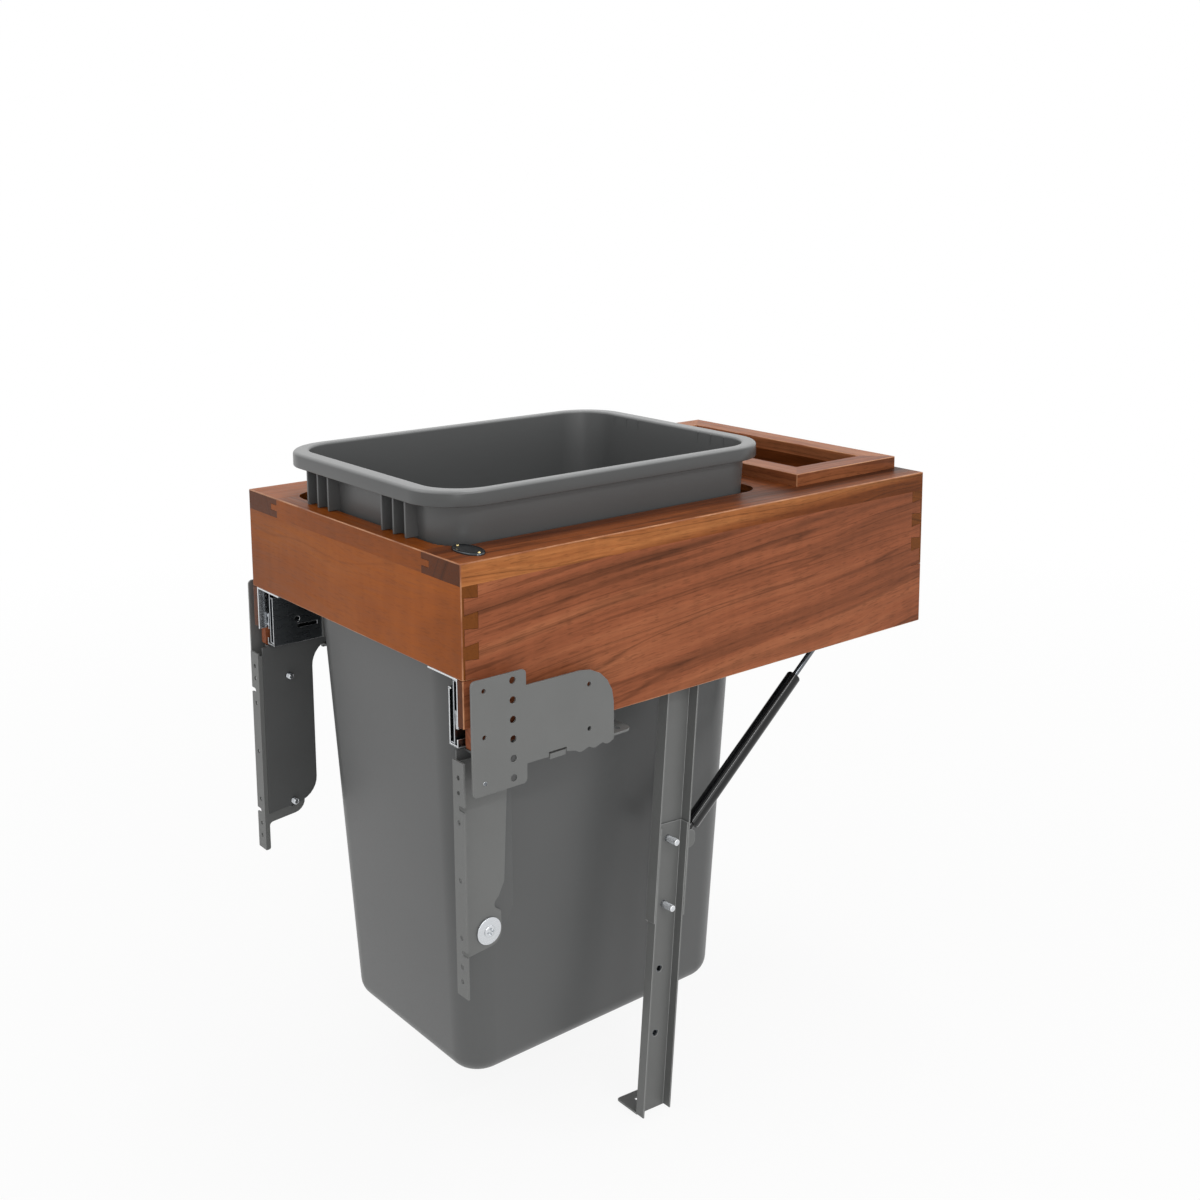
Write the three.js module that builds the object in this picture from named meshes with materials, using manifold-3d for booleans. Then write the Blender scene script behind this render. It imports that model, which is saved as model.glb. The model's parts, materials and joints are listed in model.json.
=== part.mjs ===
// A top-mounted pull-out bin unit for a kitchen base cabinet, in millimetres, +Z up.
//
// A walnut drawer frame holds one tall plastic bin and a small accessory box. It rides on two
// undermount slides. Each slide hangs on a steel bracket at the front of the cabinet and stands on
// a steel leg further back, which a gas strut braces. Two slotted steel angles under the frame
// carry the cabinet's door.
//
// X runs to the right seen from the front, Y runs back into the cabinet. The origin is on the
// cabinet floor, under the middle of the unit. Inside the file the pieces are placed from the
// middle of the frame's front edge at its top surface, so depths below the top are negative.

import * as THREE from 'three';
import { mergeVertices } from 'three/addons/utils/BufferGeometryUtils.js';
import Module from 'manifold-3d';

const wasm = await Module();
wasm.setup();

// Driving dimensions: the frame
const frameWidth = 378;
const frameLength = 572;
const frameHeight = 586; // top surface above the cabinet floor
const panelThickness = 19;
const boardThickness = 16;
const boardHeight = 79; // front and back boards
const skirtDrop = 62; // how far the sides reach below the front board
const skirtThickness = 8.5;
const skirtNotchDepth = 7;
const skirtNotchHeight = 21.5;
const fitGap = 0.3; // between pieces that are fitted into each other

// Driving dimensions: half-blind dovetails
const dovetailLap = 2.5; // wood left in front of the tails
const firstPinHeight = 11;
const tailHeight = 12;
const tailPitch = 26;
const tailFlare = 1.6; // how much a tail widens at each side towards its end

// Driving dimensions: the top panel's rails
const sideRailWidth = 59;
const tongueDepth = 12;

// Driving dimensions: the bin
const binWidth = 294; // over the rim
const binLength = 389.5;
const binHeight = 563.5;
const binRimRise = 47; // rim top above the panel
const binSetback = 8.5; // rim behind the frame's front face
const binRimBand = 14;
const binSideOverhang = 9;
const binEndOverhang = 13.4;
const binRimRadius = 50;
const binRimRoll = 4.5; // rounding of its outer upper edge
const binBodyRadius = 42;
const binFootRadius = 30;
const binEdgeRadius = 18; // where the walls turn into the floor
const binWall = 2.8;
const binDraft = 3; // degrees
const binOpeningGap = 4;
const binOpeningRadius = 25;
const finThickness = 2.5;
const finReach = 12.5; // from the wall out towards the rim's edge
const finSpacing = 19.5;
const finFirst = 48; // the innermost fin from the middle
const finsPerGroup = 3;

// Driving dimensions: the accessory box
const trimWidth = 310;
const trimGap = 20.4; // between the bin's rim and the trim
const trimStrip = 27;
const trimThickness = 12.5;
const trimSetback = 5.6; // trim's rear edge in front of the frame's rear face
const boxWall = 10;
const boxDepth = 95;
const boxFloor = 6;
const boxOpeningGap = 1;

// Driving dimensions: the oval plate
const plateLong = 40;
const plateShort = 21;
const plateThickness = 2;
const plateInset = 32; // from the frame's right face
const plateSetback = 29;
const platePinSpacing = 32;
const platePinRadius = 1.4;

// Driving dimensions: the undermount slides
const slideSteel = 1.5;
const slideWidth = 15.5; // skirt to the cabinet member's inner face
const slideFlange = 45; // drawer member's top flange
const drawerMemberDrop = 43;
const cabinetMemberTop = 10; // below the front board's lower edge
const cabinetMemberHeight = 50;
const cabinetMemberSetback = 8;
const cabinetMemberEnd = 31; // in front of the frame's rear face
const drawerMemberEnd = 22;
const middleMemberEnd = 43.5;
const cabinetLip = 7; // the cabinet member's lower, outer lip
const slideLip = 4; // the other lips
const slideHoleSetback = 26; // behind the cabinet member's front end
const slideHoleRise = 24; // above its lower edge
const slideHoleRadius = 3;
const slideSlotDrop = 5.5; // below the hole
const slideSlotHeight = 3.5;
const slideSlotLength = 22;
const rollingGap = 0.5; // where balls run between the members
const cageHeight = 16;
const cageLength = 70;
const cageDrop = 28; // below the front board's lower edge

// Driving dimensions: the cabinet brackets
const bracketStandoff = 10; // outside the frame's side face
const bracketSteel = 2;
const bracketHeight = 99;
const bracketFrontLength = 54;
const bracketLength = 147;
const bracketTop = 95.5; // below the top surface
const bracketStep = 14.5;
const bracketTail = 70; // height of the rear part
const bracketCornerRadius = 36;
const bracketSmallHole = 2.2;
const bracketFrontHole = 12; // behind the front edge
const bracketEdgeHole = 10; // from the upper and lower edges
const bracketLargeHole = 3.3;
const bracketColumnPitch = 16.9;
const bracketColumnHoles = 6;
const bracketFlangeStart = 103;
const bracketFlangeEnd = 170;
const bracketFlangeDrop = 20; // below the slide
const bracketLipStart = 61;
const bracketLipTop = 4; // below the cabinet member's upper edge
const bracketEdgeRadius = 4; // corners of its front part
const bracketTailRise = 2; // the lower edge before the scallops, above their feet
const bracketRearHole = 27; // in front of the rear edge
const bracketRearHoleDrop = 14; // below the tail's upper edge
const bracketRearHolePitch = 40;
const bracketColumnInset = 13.5; // in front of the step
const bracketColumnDrop = 7; // below the upper edge
const bracketScrewHead = 2;
const scallopCount = 3;
const scallopDepth = 3;
const scallopFootRadius = 2;
const scallopRadius = 5;
const bracketTabStart = 78; // a tongue of the flange that shows below the plate
const bracketTabEnd = 94;
const bracketTabRoot = 12; // inboard of the plate
const bracketTabDrop = 2.5; // below the flange
const bracketNotchGap = 1.5; // round the tongue, at its front and rear
const bracketNotchRise = 4; // above the plate's lower edge
const loopSetback = 11; // the flange's slot, in front of its rear edge
const loopRadius = 3;
const loopLength = 22;
const loopMiddle = 6; // inboard of the side face
const loopCornerOuter = 8;
const loopCornerInner = 6;

// Driving dimensions: the legs
const legSteel = 1.5;
const legWidth = 38;
const legFlange = 13;
const legLowerFlange = 11;
const legPivotSetback = 252.5;
const legPivotDrop = 142;
const legLean = 4.5; // degrees, foot towards the front
const legTongue = 16; // web above the pivot
const legTongueWidth = 28;
const legFlangeTop = 21; // flanges start this far below the pivot
const legUpperLength = 254; // below the pivot
const legEndChamfer = 6;
const legLowerTop = 156; // below the pivot
const legHolePitch = 65;
const legFirstHole = 171; // below the pivot
const legHoleCount = 4;
const legStudCount = 2;
const legStudRadius = 3.2;
const legStudLength = 14; // beyond the lower channel's web
const legStudHeadRadius = 6;
const legStudHead = 2.5;
const rivetRadius = 5;
const rivetHeight = 3;
const rivetDrop = 194; // below the pivot
const rivetSetback = 11; // in front of the leg's middle line
const footTabLength = 30;
const footHoleRadius = 2.8;
const pivotBoltRadius = 4;
const pivotHeadRadius = 7.5;
const pivotHead = 3;

// Driving dimensions: the gas struts
const strutInset = 34; // plane of the strut, from the frame's side face
const strutLowerDrop = 179; // ball below the leg's pivot, along the leg
const strutLowerSetback = 30; // ball behind the leg's middle line
const strutUpperSetback = 483;
const strutUpperDrop = 142;
const strutTubeRadius = 7.5;
const strutTubeLength = 183;
const strutTubeWall = 1.2;
const strutTubeCap = 6;
const strutRodRadius = 3;
const strutPistonLength = 8;
const strutPistonInside = 70; // piston below the tube's mouth
const strutBallRadius = 4;
const strutSocketRadius = 6.5;
const strutSocketWidth = 10;
const strutNeckRadius = 4;
const strutNeck = 14; // lower ball's centre to the tube's end
const ballStudRadius = 2;
const ballStudFlangeRadius = 5;
const ballStudFlange = 2.4;
const earRadius = 7.5;
const socketPlay = 1; // in the upper ball joint, which follows the leg's small swing

// Driving dimensions: the door brackets
const doorSteel = 1.8;
const doorAngleProud = 4; // in front of the frame
const doorAngleOutside = 4; // outside the frame's side face
const doorAngleWidth = 16;
const doorAngleDrop = 166;
const doorAngleHeight = 208;
const doorLegSetback = 3; // the side leg starts this far below the front leg
const doorLegDepth = 54; // over the angle, at its top
const doorLegTaper = 6; // less at the first step
const doorStepRise = 26; // first step above the lower clamp screw
const doorStepHeight = 14;
const doorStepSlope = 2;
const doorHookSetback = 4; // the hook's throat, behind the clamp screw
const doorHookDrop = 5; // its throat below the step
const doorHookNose = 13; // its nose behind the clamp screw
const doorHookNoseDrop = 12;
const doorHookFoot = 40; // its lower edge below the step
const doorHookFootRadius = 12;
const doorFrontRun = 1; // the front leg's own depth below the hook
const doorHoleRadius = 2.3;
const doorHolePitch = 13; // inside a group of holes
const doorHolesInGroup = 4;
const doorNotchPlace = 2; // the third place of a group is a notch in the leg's edge
const doorEdgeHoleInset = 14;
const doorFlangeHole = 12; // from the ends of the plate's flange
const doorFlangeHoleRadius = 1.8;
const doorPlateSlope = 6; // the plate's lower edge rises this much towards the rear
const doorPlateLength = 54;
const doorPlateSweepLength = 90;
const doorPlateHeight = 175;
const doorPlateCorner = 23;
const doorPlateSweep = 25; // radius of the hollow curve under the skirt
const doorPlateNeck = 10; // depth of the plate's tail at the end of its sweep
const clampSetback = 27;
const clampUpperDrop = 194;
const clampPitch = 133.5;
const clampRadius = 3;
const clampWasherRadius = 12; // the lower screw's
const clampUpperWasherRadius = 7;
const clampWasher = 1.6;
const clampHeadRadius = 4.4;
const clampHead = 1.6;
const clampTail = 7;
const clampTravel = 4; // how far the angle can be set up or down

// Places that follow from the driving dimensions
const halfWidth = frameWidth / 2;
const boardBottom = -panelThickness - boardHeight;
const skirtBottom = boardBottom - skirtDrop;
const middleSetback = (frameLength - doorAngleProud) / 2;
const drawerMemberLength = frameLength - drawerMemberEnd;
const cabinetMemberLength = frameLength - cabinetMemberEnd - cabinetMemberSetback;
const middleMemberLength = frameLength - middleMemberEnd - cabinetMemberSetback - rollingGap;
const radians = THREE.MathUtils.degToRad;

// Colours and finishes
const finishes = {
  walnut: { color: 0x7a4a30, roughness: 0.45, metalness: 0 },
  cherryWalnut: { color: 0x935228, roughness: 0.45, metalness: 0 },
  binPlastic: { color: 0x585b5b, roughness: 0.5, metalness: 0 },
  greySteel: { color: 0x757776, roughness: 0.55, metalness: 0.3 },
  zinc: { color: 0xb9bcc0, roughness: 0.35, metalness: 0.9 },
  blackEnamel: { color: 0x111213, roughness: 0.3, metalness: 0.2 },
  rodSteel: { color: 0x2a2c2f, roughness: 0.25, metalness: 0.8 },
  darkMetal: { color: 0x33383c, roughness: 0.35, metalness: 0.7 },
};

// Groups: one for the whole unit, one for each side's hardware, one for each leaning leg
const unit = new THREE.Group();
unit.position.set(0, -middleSetback, frameHeight);
const sides = [
  { name: 'right', sign: 1, group: new THREE.Group(), leg: new THREE.Group() },
  { name: 'left', sign: -1, group: new THREE.Group(), leg: new THREE.Group() },
];
for (const side of sides) {
  side.group.position.x = side.sign * halfWidth;
  side.leg.position.set(0, legPivotSetback, -legPivotDrop);
  side.leg.rotation.x = -radians(legLean);
  side.group.add(side.leg);
  unit.add(side.group);
}

// Geometry helpers

// Keeps only positions and shares the vertices, so that a shape is one closed mesh.
function welded(geometry) {
  const bare = new THREE.BufferGeometry();
  bare.setAttribute('position', geometry.getAttribute('position').clone());
  if (geometry.index) bare.setIndex(geometry.index.clone());
  return mergeVertices(bare, 1e-4);
}

function toSolid(geometry) {
  const mesh = welded(geometry);
  const vertProperties = Float32Array.from(mesh.getAttribute('position').array);
  const triVerts = Uint32Array.from(mesh.index.array);
  return new wasm.Manifold(new wasm.Mesh({ numProp: 3, vertProperties, triVerts }));
}

function toGeometry(solid) {
  const mesh = solid.getMesh();
  const geometry = new THREE.BufferGeometry();
  geometry.setAttribute('position', new THREE.BufferAttribute(mesh.vertProperties, 3));
  geometry.setIndex(new THREE.BufferAttribute(mesh.triVerts, 1));
  return geometry;
}

function joined(first, ...others) {
  let solid = toSolid(first);
  for (const other of others) solid = solid.add(toSolid(other));
  return toGeometry(solid);
}

function cut(body, ...tools) {
  let solid = toSolid(body);
  for (const tool of tools) solid = solid.subtract(toSolid(tool));
  return toGeometry(solid);
}

// Mirrors a shape along 'x' or 'y' and turns its faces outward again.
function mirrored(geometry, axis) {
  const copy = welded(geometry);
  copy.scale(axis === 'x' ? -1 : 1, axis === 'y' ? -1 : 1, 1);
  const index = copy.index.array;
  for (let i = 0; i < index.length; i += 3) {
    const second = index[i + 1];
    index[i + 1] = index[i + 2];
    index[i + 2] = second;
  }
  return copy;
}

function block(x0, x1, y0, y1, z0, z1) {
  const box = new THREE.BoxGeometry(x1 - x0, y1 - y0, z1 - z0);
  return box.translate((x0 + x1) / 2, (y0 + y1) / 2, (z0 + z1) / 2);
}

// A flat outline from corners [u, v, radius]; a radius rounds its corner with an arc.
function outline(corners, arcSteps = 5) {
  const points = [];
  corners.forEach(([u, v, radius = 0], i) => {
    const corner = new THREE.Vector2(u, v);
    if (radius === 0) {
      points.push(corner);
      return;
    }
    const [beforeU, beforeV] = corners.at(i - 1);
    const [afterU, afterV] = corners[(i + 1) % corners.length];
    const before = new THREE.Vector2(beforeU - u, beforeV - v).normalize();
    const after = new THREE.Vector2(afterU - u, afterV - v).normalize();
    const half = Math.acos(before.dot(after)) / 2;
    const middle = before.clone().add(after).normalize();
    const centre = corner.clone().addScaledVector(middle, radius / Math.sin(half));
    const start = corner.clone().addScaledVector(before, radius / Math.tan(half)).sub(centre);
    const turn = (Math.PI - 2 * half) * Math.sign(after.cross(before));
    for (let step = 0; step <= arcSteps; step += 1) {
      points.push(start.clone().rotateAround(new THREE.Vector2(), (turn * step) / arcSteps).add(centre));
    }
  });
  return new THREE.Shape(points);
}

function roundHole(u, v, radius) {
  return new THREE.Path().absarc(u, v, radius, 0, Math.PI * 2, true);
}

// A slot with round ends, its long way along u or v.
function slotHole(u, v, radius, along, direction) {
  const path = new THREE.Path();
  const half = along / 2 - radius;
  if (direction === 'u') {
    path.absarc(u + half, v, radius, -Math.PI / 2, Math.PI / 2, false);
    path.absarc(u - half, v, radius, Math.PI / 2, Math.PI * 1.5, false);
  } else {
    path.absarc(u, v + half, radius, 0, Math.PI, false);
    path.absarc(u, v - half, radius, Math.PI, Math.PI * 2, false);
  }
  path.closePath();
  return path;
}

function pushed(shape, depth) {
  return new THREE.ExtrudeGeometry(shape, { depth, bevelEnabled: false, curveSegments: 5 });
}

// A plate whose outline is drawn in X and Y.
function plateXY(shape, z, thickness) {
  return pushed(shape, thickness).translate(0, 0, z);
}

// A plate whose outline is drawn in Y and Z; it fills x to x + thickness.
const faceYZ = new THREE.Matrix4().makeBasis(
  new THREE.Vector3(0, 1, 0),
  new THREE.Vector3(0, 0, 1),
  new THREE.Vector3(1, 0, 0),
);
function plateYZ(shape, x, thickness) {
  return pushed(shape, thickness).applyMatrix4(faceYZ).translate(x, 0, 0);
}

// A section drawn in X and Z; it runs from y to y + length.
const faceXZ = new THREE.Matrix4().makeBasis(
  new THREE.Vector3(1, 0, 0),
  new THREE.Vector3(0, 0, 1),
  new THREE.Vector3(0, -1, 0),
);
function sectionXZ(shape, y, length) {
  return pushed(shape, length).applyMatrix4(faceXZ).translate(0, y + length, 0);
}

// A round bar along X from x0 to x1.
function barX(x0, x1, y, z, radius, segments = 14) {
  const bar = new THREE.CylinderGeometry(radius, radius, x1 - x0, segments);
  return bar.rotateZ(Math.PI / 2).translate((x0 + x1) / 2, y, z);
}

function addMesh(parent, name, geometry, finish) {
  const mesh = new THREE.Mesh(geometry, new THREE.MeshStandardMaterial({ ...finish }));
  mesh.name = name;
  parent.add(mesh);
  return mesh;
}

// Adds a piece of side hardware twice: as drawn on the right, mirrored on the left. Its x runs
// from the frame's side face, so that inboard is negative.
function addPair(name, geometry, finish, place = 'group') {
  for (const side of sides) {
    const shape = side.sign > 0 ? welded(geometry) : mirrored(geometry, 'x');
    addMesh(side[place], `${name}_${side.name}`, shape, finish);
  }
}

// The frame: two side boards, a front and a back board, dovetailed at the corners

// The tails of one corner, as [top, bottom] below the board's upper edge. The last tail runs out
// at the board's lower edge.
function tailStations() {
  const stations = [];
  for (let top = firstPinHeight; top < boardHeight - tailHeight / 2; top += tailPitch) {
    const isLast = top + tailPitch >= boardHeight - tailHeight / 2;
    stations.push([top, isLast ? boardHeight : top + tailHeight]);
  }
  return stations;
}

// A tail in the YZ plane at the front corner, from its shoulder to its end.
function tailCorners([top, bottom], clearance, shoulder) {
  const slope = tailFlare / (boardThickness - dovetailLap);
  const flareAt = (y) => slope * (boardThickness - y);
  const end = dovetailLap + clearance;
  const isLast = bottom === boardHeight;
  const upper = (y) => -panelThickness - top + flareAt(y) - clearance;
  const lower = (y) => (isLast ? boardBottom : -panelThickness - bottom - flareAt(y) + clearance);
  return [
    [shoulder, upper(shoulder)],
    [end, upper(end)],
    [end, lower(end)],
    [shoulder, lower(shoulder)],
  ];
}

function makeSideBoard() {
  const shoulder = boardThickness + fitGap;
  const tails = tailStations().flatMap((station) => tailCorners(station, fitGap, shoulder));
  const frontEdge = [[shoulder, -panelThickness], ...tails];
  const rearEdge = frontEdge.map(([y, z]) => [frameLength - y, z]).reverse();
  const upperBoard = outline([...frontEdge, ...rearEdge].reverse());
  const skirtTop = boardBottom - fitGap;
  const innerReach = frontEdge.at(-1)[0];
  const skirt = outline([
    [skirtNotchDepth, skirtBottom, 3],
    [frameLength, skirtBottom],
    [frameLength, skirtTop],
    [frameLength - innerReach, skirtTop],
    [frameLength - innerReach, -panelThickness - boardHeight / 2],
    [innerReach, -panelThickness - boardHeight / 2],
    [innerReach, skirtTop],
    [0, skirtTop],
    [0, skirtBottom + skirtNotchHeight],
    [skirtNotchDepth, skirtBottom + skirtNotchHeight],
  ]);
  return joined(
    plateYZ(upperBoard, -boardThickness, boardThickness),
    plateYZ(skirt, -skirtThickness, skirtThickness),
  );
}

function makeFrontBoard() {
  const board = block(-halfWidth, halfWidth, 0, boardThickness, boardBottom, -panelThickness);
  const sockets = [];
  for (const station of tailStations()) {
    const isLast = station[1] === boardHeight;
    const corners = tailCorners(station, 0, boardThickness + 1);
    if (isLast) {
      corners[2][1] -= 1;
      corners[3][1] -= 1;
    }
    const socket = plateYZ(outline(corners), halfWidth - boardThickness - fitGap, boardThickness * 2);
    sockets.push(socket, mirrored(socket, 'x'));
  }
  return cut(board, ...sockets);
}

addPair('side_board', makeSideBoard(), finishes.walnut);
const frontBoard = makeFrontBoard();
addMesh(unit, 'front_board', frontBoard, finishes.cherryWalnut);
addMesh(
  unit,
  'back_board',
  mirrored(frontBoard, 'y').translate(0, frameLength, 0),
  finishes.walnut,
);

// The bin's places, which the top panel's opening follows
const binMiddle = binSetback + binLength / 2;
const draftSlope = Math.tan(radians(binDraft));
const rimUnderside = binRimRise - binRimBand;
const bodyTop = {
  halfX: binWidth / 2 - binSideOverhang,
  halfY: binLength / 2 - binEndOverhang,
};
const openingHalfX = bodyTop.halfX - rimUnderside * draftSlope + binOpeningGap;
const openingHalfY = bodyTop.halfY - rimUnderside * draftSlope + binOpeningGap;
const openingFront = binMiddle - openingHalfY;
const openingRear = binMiddle + openingHalfY;

// The accessory box's places
const trimRear = frameLength - trimSetback;
const trimFront = binSetback + binLength + trimGap;
const boxHalfX = trimWidth / 2 - trimStrip + boxWall;
const boxFront = trimFront + trimStrip - boxWall;
const boxRear = trimRear - trimStrip + boxWall;

// The top panel: two long side rails and three cross rails, tongued and grooved
function rectangle(x0, x1, y0, y1, radius = 0) {
  return outline([[x0, y0, radius], [x1, y0, radius], [x1, y1, radius], [x0, y1, radius]]);
}
const panelMargin = 1; // cutting tools stand this far out of the panel
const binOpening = plateXY(
  rectangle(-openingHalfX, openingHalfX, openingFront, openingRear, binOpeningRadius),
  -panelThickness - panelMargin,
  panelThickness + 2 * panelMargin,
);
const boxOpening = plateXY(
  rectangle(
    -boxHalfX - boxOpeningGap,
    boxHalfX + boxOpeningGap,
    boxFront - boxOpeningGap,
    boxRear + boxOpeningGap,
  ),
  -panelThickness - panelMargin,
  panelThickness + 2 * panelMargin,
);
const crossRails = [
  { name: 'top_rail_front', y0: 0, y1: openingFront + binOpeningRadius, open: true },
  { name: 'top_rail_middle', y0: openingRear - binOpeningRadius, y1: boxFront - boxOpeningGap },
  { name: 'top_rail_rear', y0: boxRear + boxOpeningGap, y1: frameLength, open: true },
];
const railInner = halfWidth - sideRailWidth;
const tongueBottom = (-panelThickness * 2) / 3;
const tongueTop = -panelThickness / 3;

function makeCrossRail({ y0, y1 }) {
  const reach = railInner + tongueDepth - fitGap;
  return cut(
    joined(
      block(-railInner, railInner, y0, y1, -panelThickness, 0),
      block(-reach, reach, y0, y1, tongueBottom + fitGap, tongueTop - fitGap),
    ),
    binOpening,
  );
}

function makeSideRail() {
  const rail = block(railInner, halfWidth, 0, frameLength, -panelThickness, 0);
  const grooves = crossRails.map(({ y0, y1 }) => {
    const start = y0 === 0 ? -panelMargin : y0 - fitGap;
    const end = y1 === frameLength ? frameLength + panelMargin : y1 + fitGap;
    const inner = railInner - panelMargin;
    return block(inner, railInner + tongueDepth, start, end, tongueBottom, tongueTop);
  });
  return cut(rail, binOpening, boxOpening, ...grooves);
}

for (const rail of crossRails) addMesh(unit, rail.name, makeCrossRail(rail), finishes.walnut);
addPair('top_rail', makeSideRail().translate(-halfWidth, 0, 0), finishes.walnut);

// The bin: a drafted shell with a turned-down rim, hung by fins at its two ends

function roundedRing(halfX, halfY, radius, z, arcSteps = 5) {
  const ring = [];
  const corners = [[1, -1], [1, 1], [-1, 1], [-1, -1]];
  corners.forEach(([signX, signY], quarter) => {
    for (let step = 0; step <= arcSteps; step += 1) {
      const angle = (quarter - 1 + step / arcSteps) * (Math.PI / 2);
      ring.push([
        signX * (halfX - radius) + radius * Math.cos(angle),
        binMiddle + signY * (halfY - radius) + radius * Math.sin(angle),
        z,
      ]);
    }
  });
  return ring;
}

// Joins rings of equal count into one skin and closes both ends with a fan.
function loft(rings) {
  const count = rings[0].length;
  const centreOf = (ring) => [0, binMiddle, ring[0][2]];
  const positions = [...rings.flat(), centreOf(rings[0]), centreOf(rings.at(-1))].flat();
  const firstCentre = rings.length * count;
  const index = [];
  for (let j = 0; j < count; j += 1) {
    const next = (j + 1) % count;
    for (let i = 0; i < rings.length - 1; i += 1) {
      const low = i * count;
      const high = low + count;
      index.push(low + j, low + next, high + next, low + j, high + next, high + j);
    }
    const last = (rings.length - 1) * count;
    index.push(firstCentre, next, j, firstCentre + 1, last + j, last + next);
  }
  const geometry = new THREE.BufferGeometry();
  geometry.setAttribute('position', new THREE.Float32BufferAttribute(positions, 3));
  geometry.setIndex(index);
  return geometry;
}

function makeBin() {
  const bottom = binRimRise - binHeight;
  const flangeUnderside = binRimRise - binWall;
  const bodyDrop = rimUnderside - bottom;

  // A ring on the body, its wall set in by a thickness; z sets the draft and the corner.
  function bodyRing(z, wall, inset = 0) {
    const drop = rimUnderside - z;
    const share = Math.min(Math.max(drop / bodyDrop, 0), 1);
    const radius = binBodyRadius + (binFootRadius - binBodyRadius) * share;
    const shrink = drop * draftSlope + wall + inset;
    const corner = Math.max(radius - wall - inset, 4);
    return roundedRing(bodyTop.halfX - shrink, bodyTop.halfY - shrink, corner, z);
  }

  function rimRing(inset, z) {
    return roundedRing(binWidth / 2 - inset, binLength / 2 - inset, binRimRadius - inset, z);
  }

  // A quarter round from the floor into the wall.
  function turn(z, radius, wall) {
    return [0, 30, 60, 90].map((degrees) => {
      const angle = radians(degrees);
      const inset = radius * (1 - Math.sin(angle));
      return bodyRing(z + radius * (1 - Math.cos(angle)), wall, inset);
    });
  }

  const outer = turn(bottom, binEdgeRadius, 0);
  const inner = turn(bottom + binWall, binEdgeRadius - binWall, binWall).reverse();
  const shell = loft([
    ...outer,
    bodyRing(flangeUnderside, 0),
    rimRing(binWall, flangeUnderside),
    rimRing(binWall, rimUnderside),
    rimRing(0, rimUnderside),
    rimRing(0, binRimRise - binRimRoll),
    rimRing(binRimRoll * 0.3, binRimRise - binRimRoll * 0.3),
    rimRing(binRimRoll, binRimRise),
    bodyRing(binRimRise, binWall, -binWall / 2),
    bodyRing(binRimRise - binWall, binWall),
    ...inner,
  ]);

  const wallY = bodyTop.halfY - rimUnderside * draftSlope;
  const fins = [];
  for (const end of [-1, 1]) {
    for (const hand of [-1, 1]) {
      for (let k = 0; k < finsPerGroup; k += 1) {
        const x = hand * (finFirst + k * finSpacing);
        const reaches = [wallY - 1, wallY + finReach].map((reach) => binMiddle + end * reach);
        const [y0, y1] = reaches.sort((a, b) => a - b);
        const half = finThickness / 2;
        fins.push(block(x - half, x + half, y0, y1, fitGap, flangeUnderside + 1));
      }
    }
  }
  return joined(shell, ...fins);
}
addMesh(unit, 'bin', makeBin(), finishes.binPlastic);

// The accessory box: a mitred trim frame over five thin boards

function makeTrim() {
  const halfX = trimWidth / 2;
  const inX = halfX - trimStrip;
  const inFront = trimFront + trimStrip;
  const inRear = trimRear - trimStrip;
  const strips = {
    accessory_trim_front: [[-halfX, trimFront], [halfX, trimFront], [inX, inFront], [-inX, inFront]],
    accessory_trim_rear: [[-inX, inRear], [inX, inRear], [halfX, trimRear], [-halfX, trimRear]],
    accessory_trim_right: [[halfX, trimFront], [halfX, trimRear], [inX, inRear], [inX, inFront]],
    accessory_trim_left: [[-halfX, trimRear], [-halfX, trimFront], [-inX, inFront], [-inX, inRear]],
  };
  for (const [name, corners] of Object.entries(strips)) {
    addMesh(unit, name, plateXY(outline(corners), 0, trimThickness), finishes.walnut);
  }
}
makeTrim();

const boxBoards = {
  accessory_box_right: [boxHalfX - boxWall, boxHalfX, boxFront, boxRear, -boxDepth, 0],
  accessory_box_left: [-boxHalfX, boxWall - boxHalfX, boxFront, boxRear, -boxDepth, 0],
  accessory_box_front: [
    boxWall - boxHalfX, boxHalfX - boxWall, boxFront, boxFront + boxWall, -boxDepth, 0,
  ],
  accessory_box_rear: [
    boxWall - boxHalfX, boxHalfX - boxWall, boxRear - boxWall, boxRear, -boxDepth, 0,
  ],
  accessory_box_floor: [
    boxWall - boxHalfX, boxHalfX - boxWall, boxFront + boxWall, boxRear - boxWall,
    -boxDepth, boxFloor - boxDepth,
  ],
};
for (const [name, corners] of Object.entries(boxBoards)) {
  addMesh(unit, name, block(...corners), finishes.walnut);
}

// The plain oval plate on the top panel, with its two pins
function makePlate() {
  const oval = new THREE.Shape().absellipse(0, 0, plateLong / 2, plateShort / 2, 0, Math.PI * 2);
  const pins = [-1, 1].map((hand) => {
    const pin = new THREE.CylinderGeometry(platePinRadius, platePinRadius, plateThickness, 10);
    return pin.rotateX(Math.PI / 2).translate((hand * platePinSpacing) / 2, 0, plateThickness);
  });
  const settings = { depth: plateThickness, bevelEnabled: false, curveSegments: 12 };
  return joined(new THREE.ExtrudeGeometry(oval, settings), ...pins);
}
addMesh(
  unit,
  'name_plate',
  makePlate().translate(halfWidth - plateInset, plateSetback, 0),
  finishes.darkMetal,
);

// The undermount slides: a drawer member under the frame, a middle member and a cabinet member.
// Their sections are constant along Y, so that the slide can run.
const slideInner = -skirtThickness - slideWidth; // inner face of the cabinet member
const cabinetMemberBottom = boardBottom - cabinetMemberTop - cabinetMemberHeight;
const middleWebX = (slideInner - skirtThickness) / 2;

function makeDrawerMember() {
  const outside = -skirtThickness;
  return sectionXZ(
    outline([
      [outside - slideFlange, boardBottom - slideSteel],
      [outside - slideSteel, boardBottom - slideSteel],
      [outside - slideSteel, boardBottom - drawerMemberDrop],
      [outside, boardBottom - drawerMemberDrop],
      [outside, boardBottom],
      [outside - slideFlange, boardBottom],
    ]),
    0,
    drawerMemberLength,
  );
}

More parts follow.
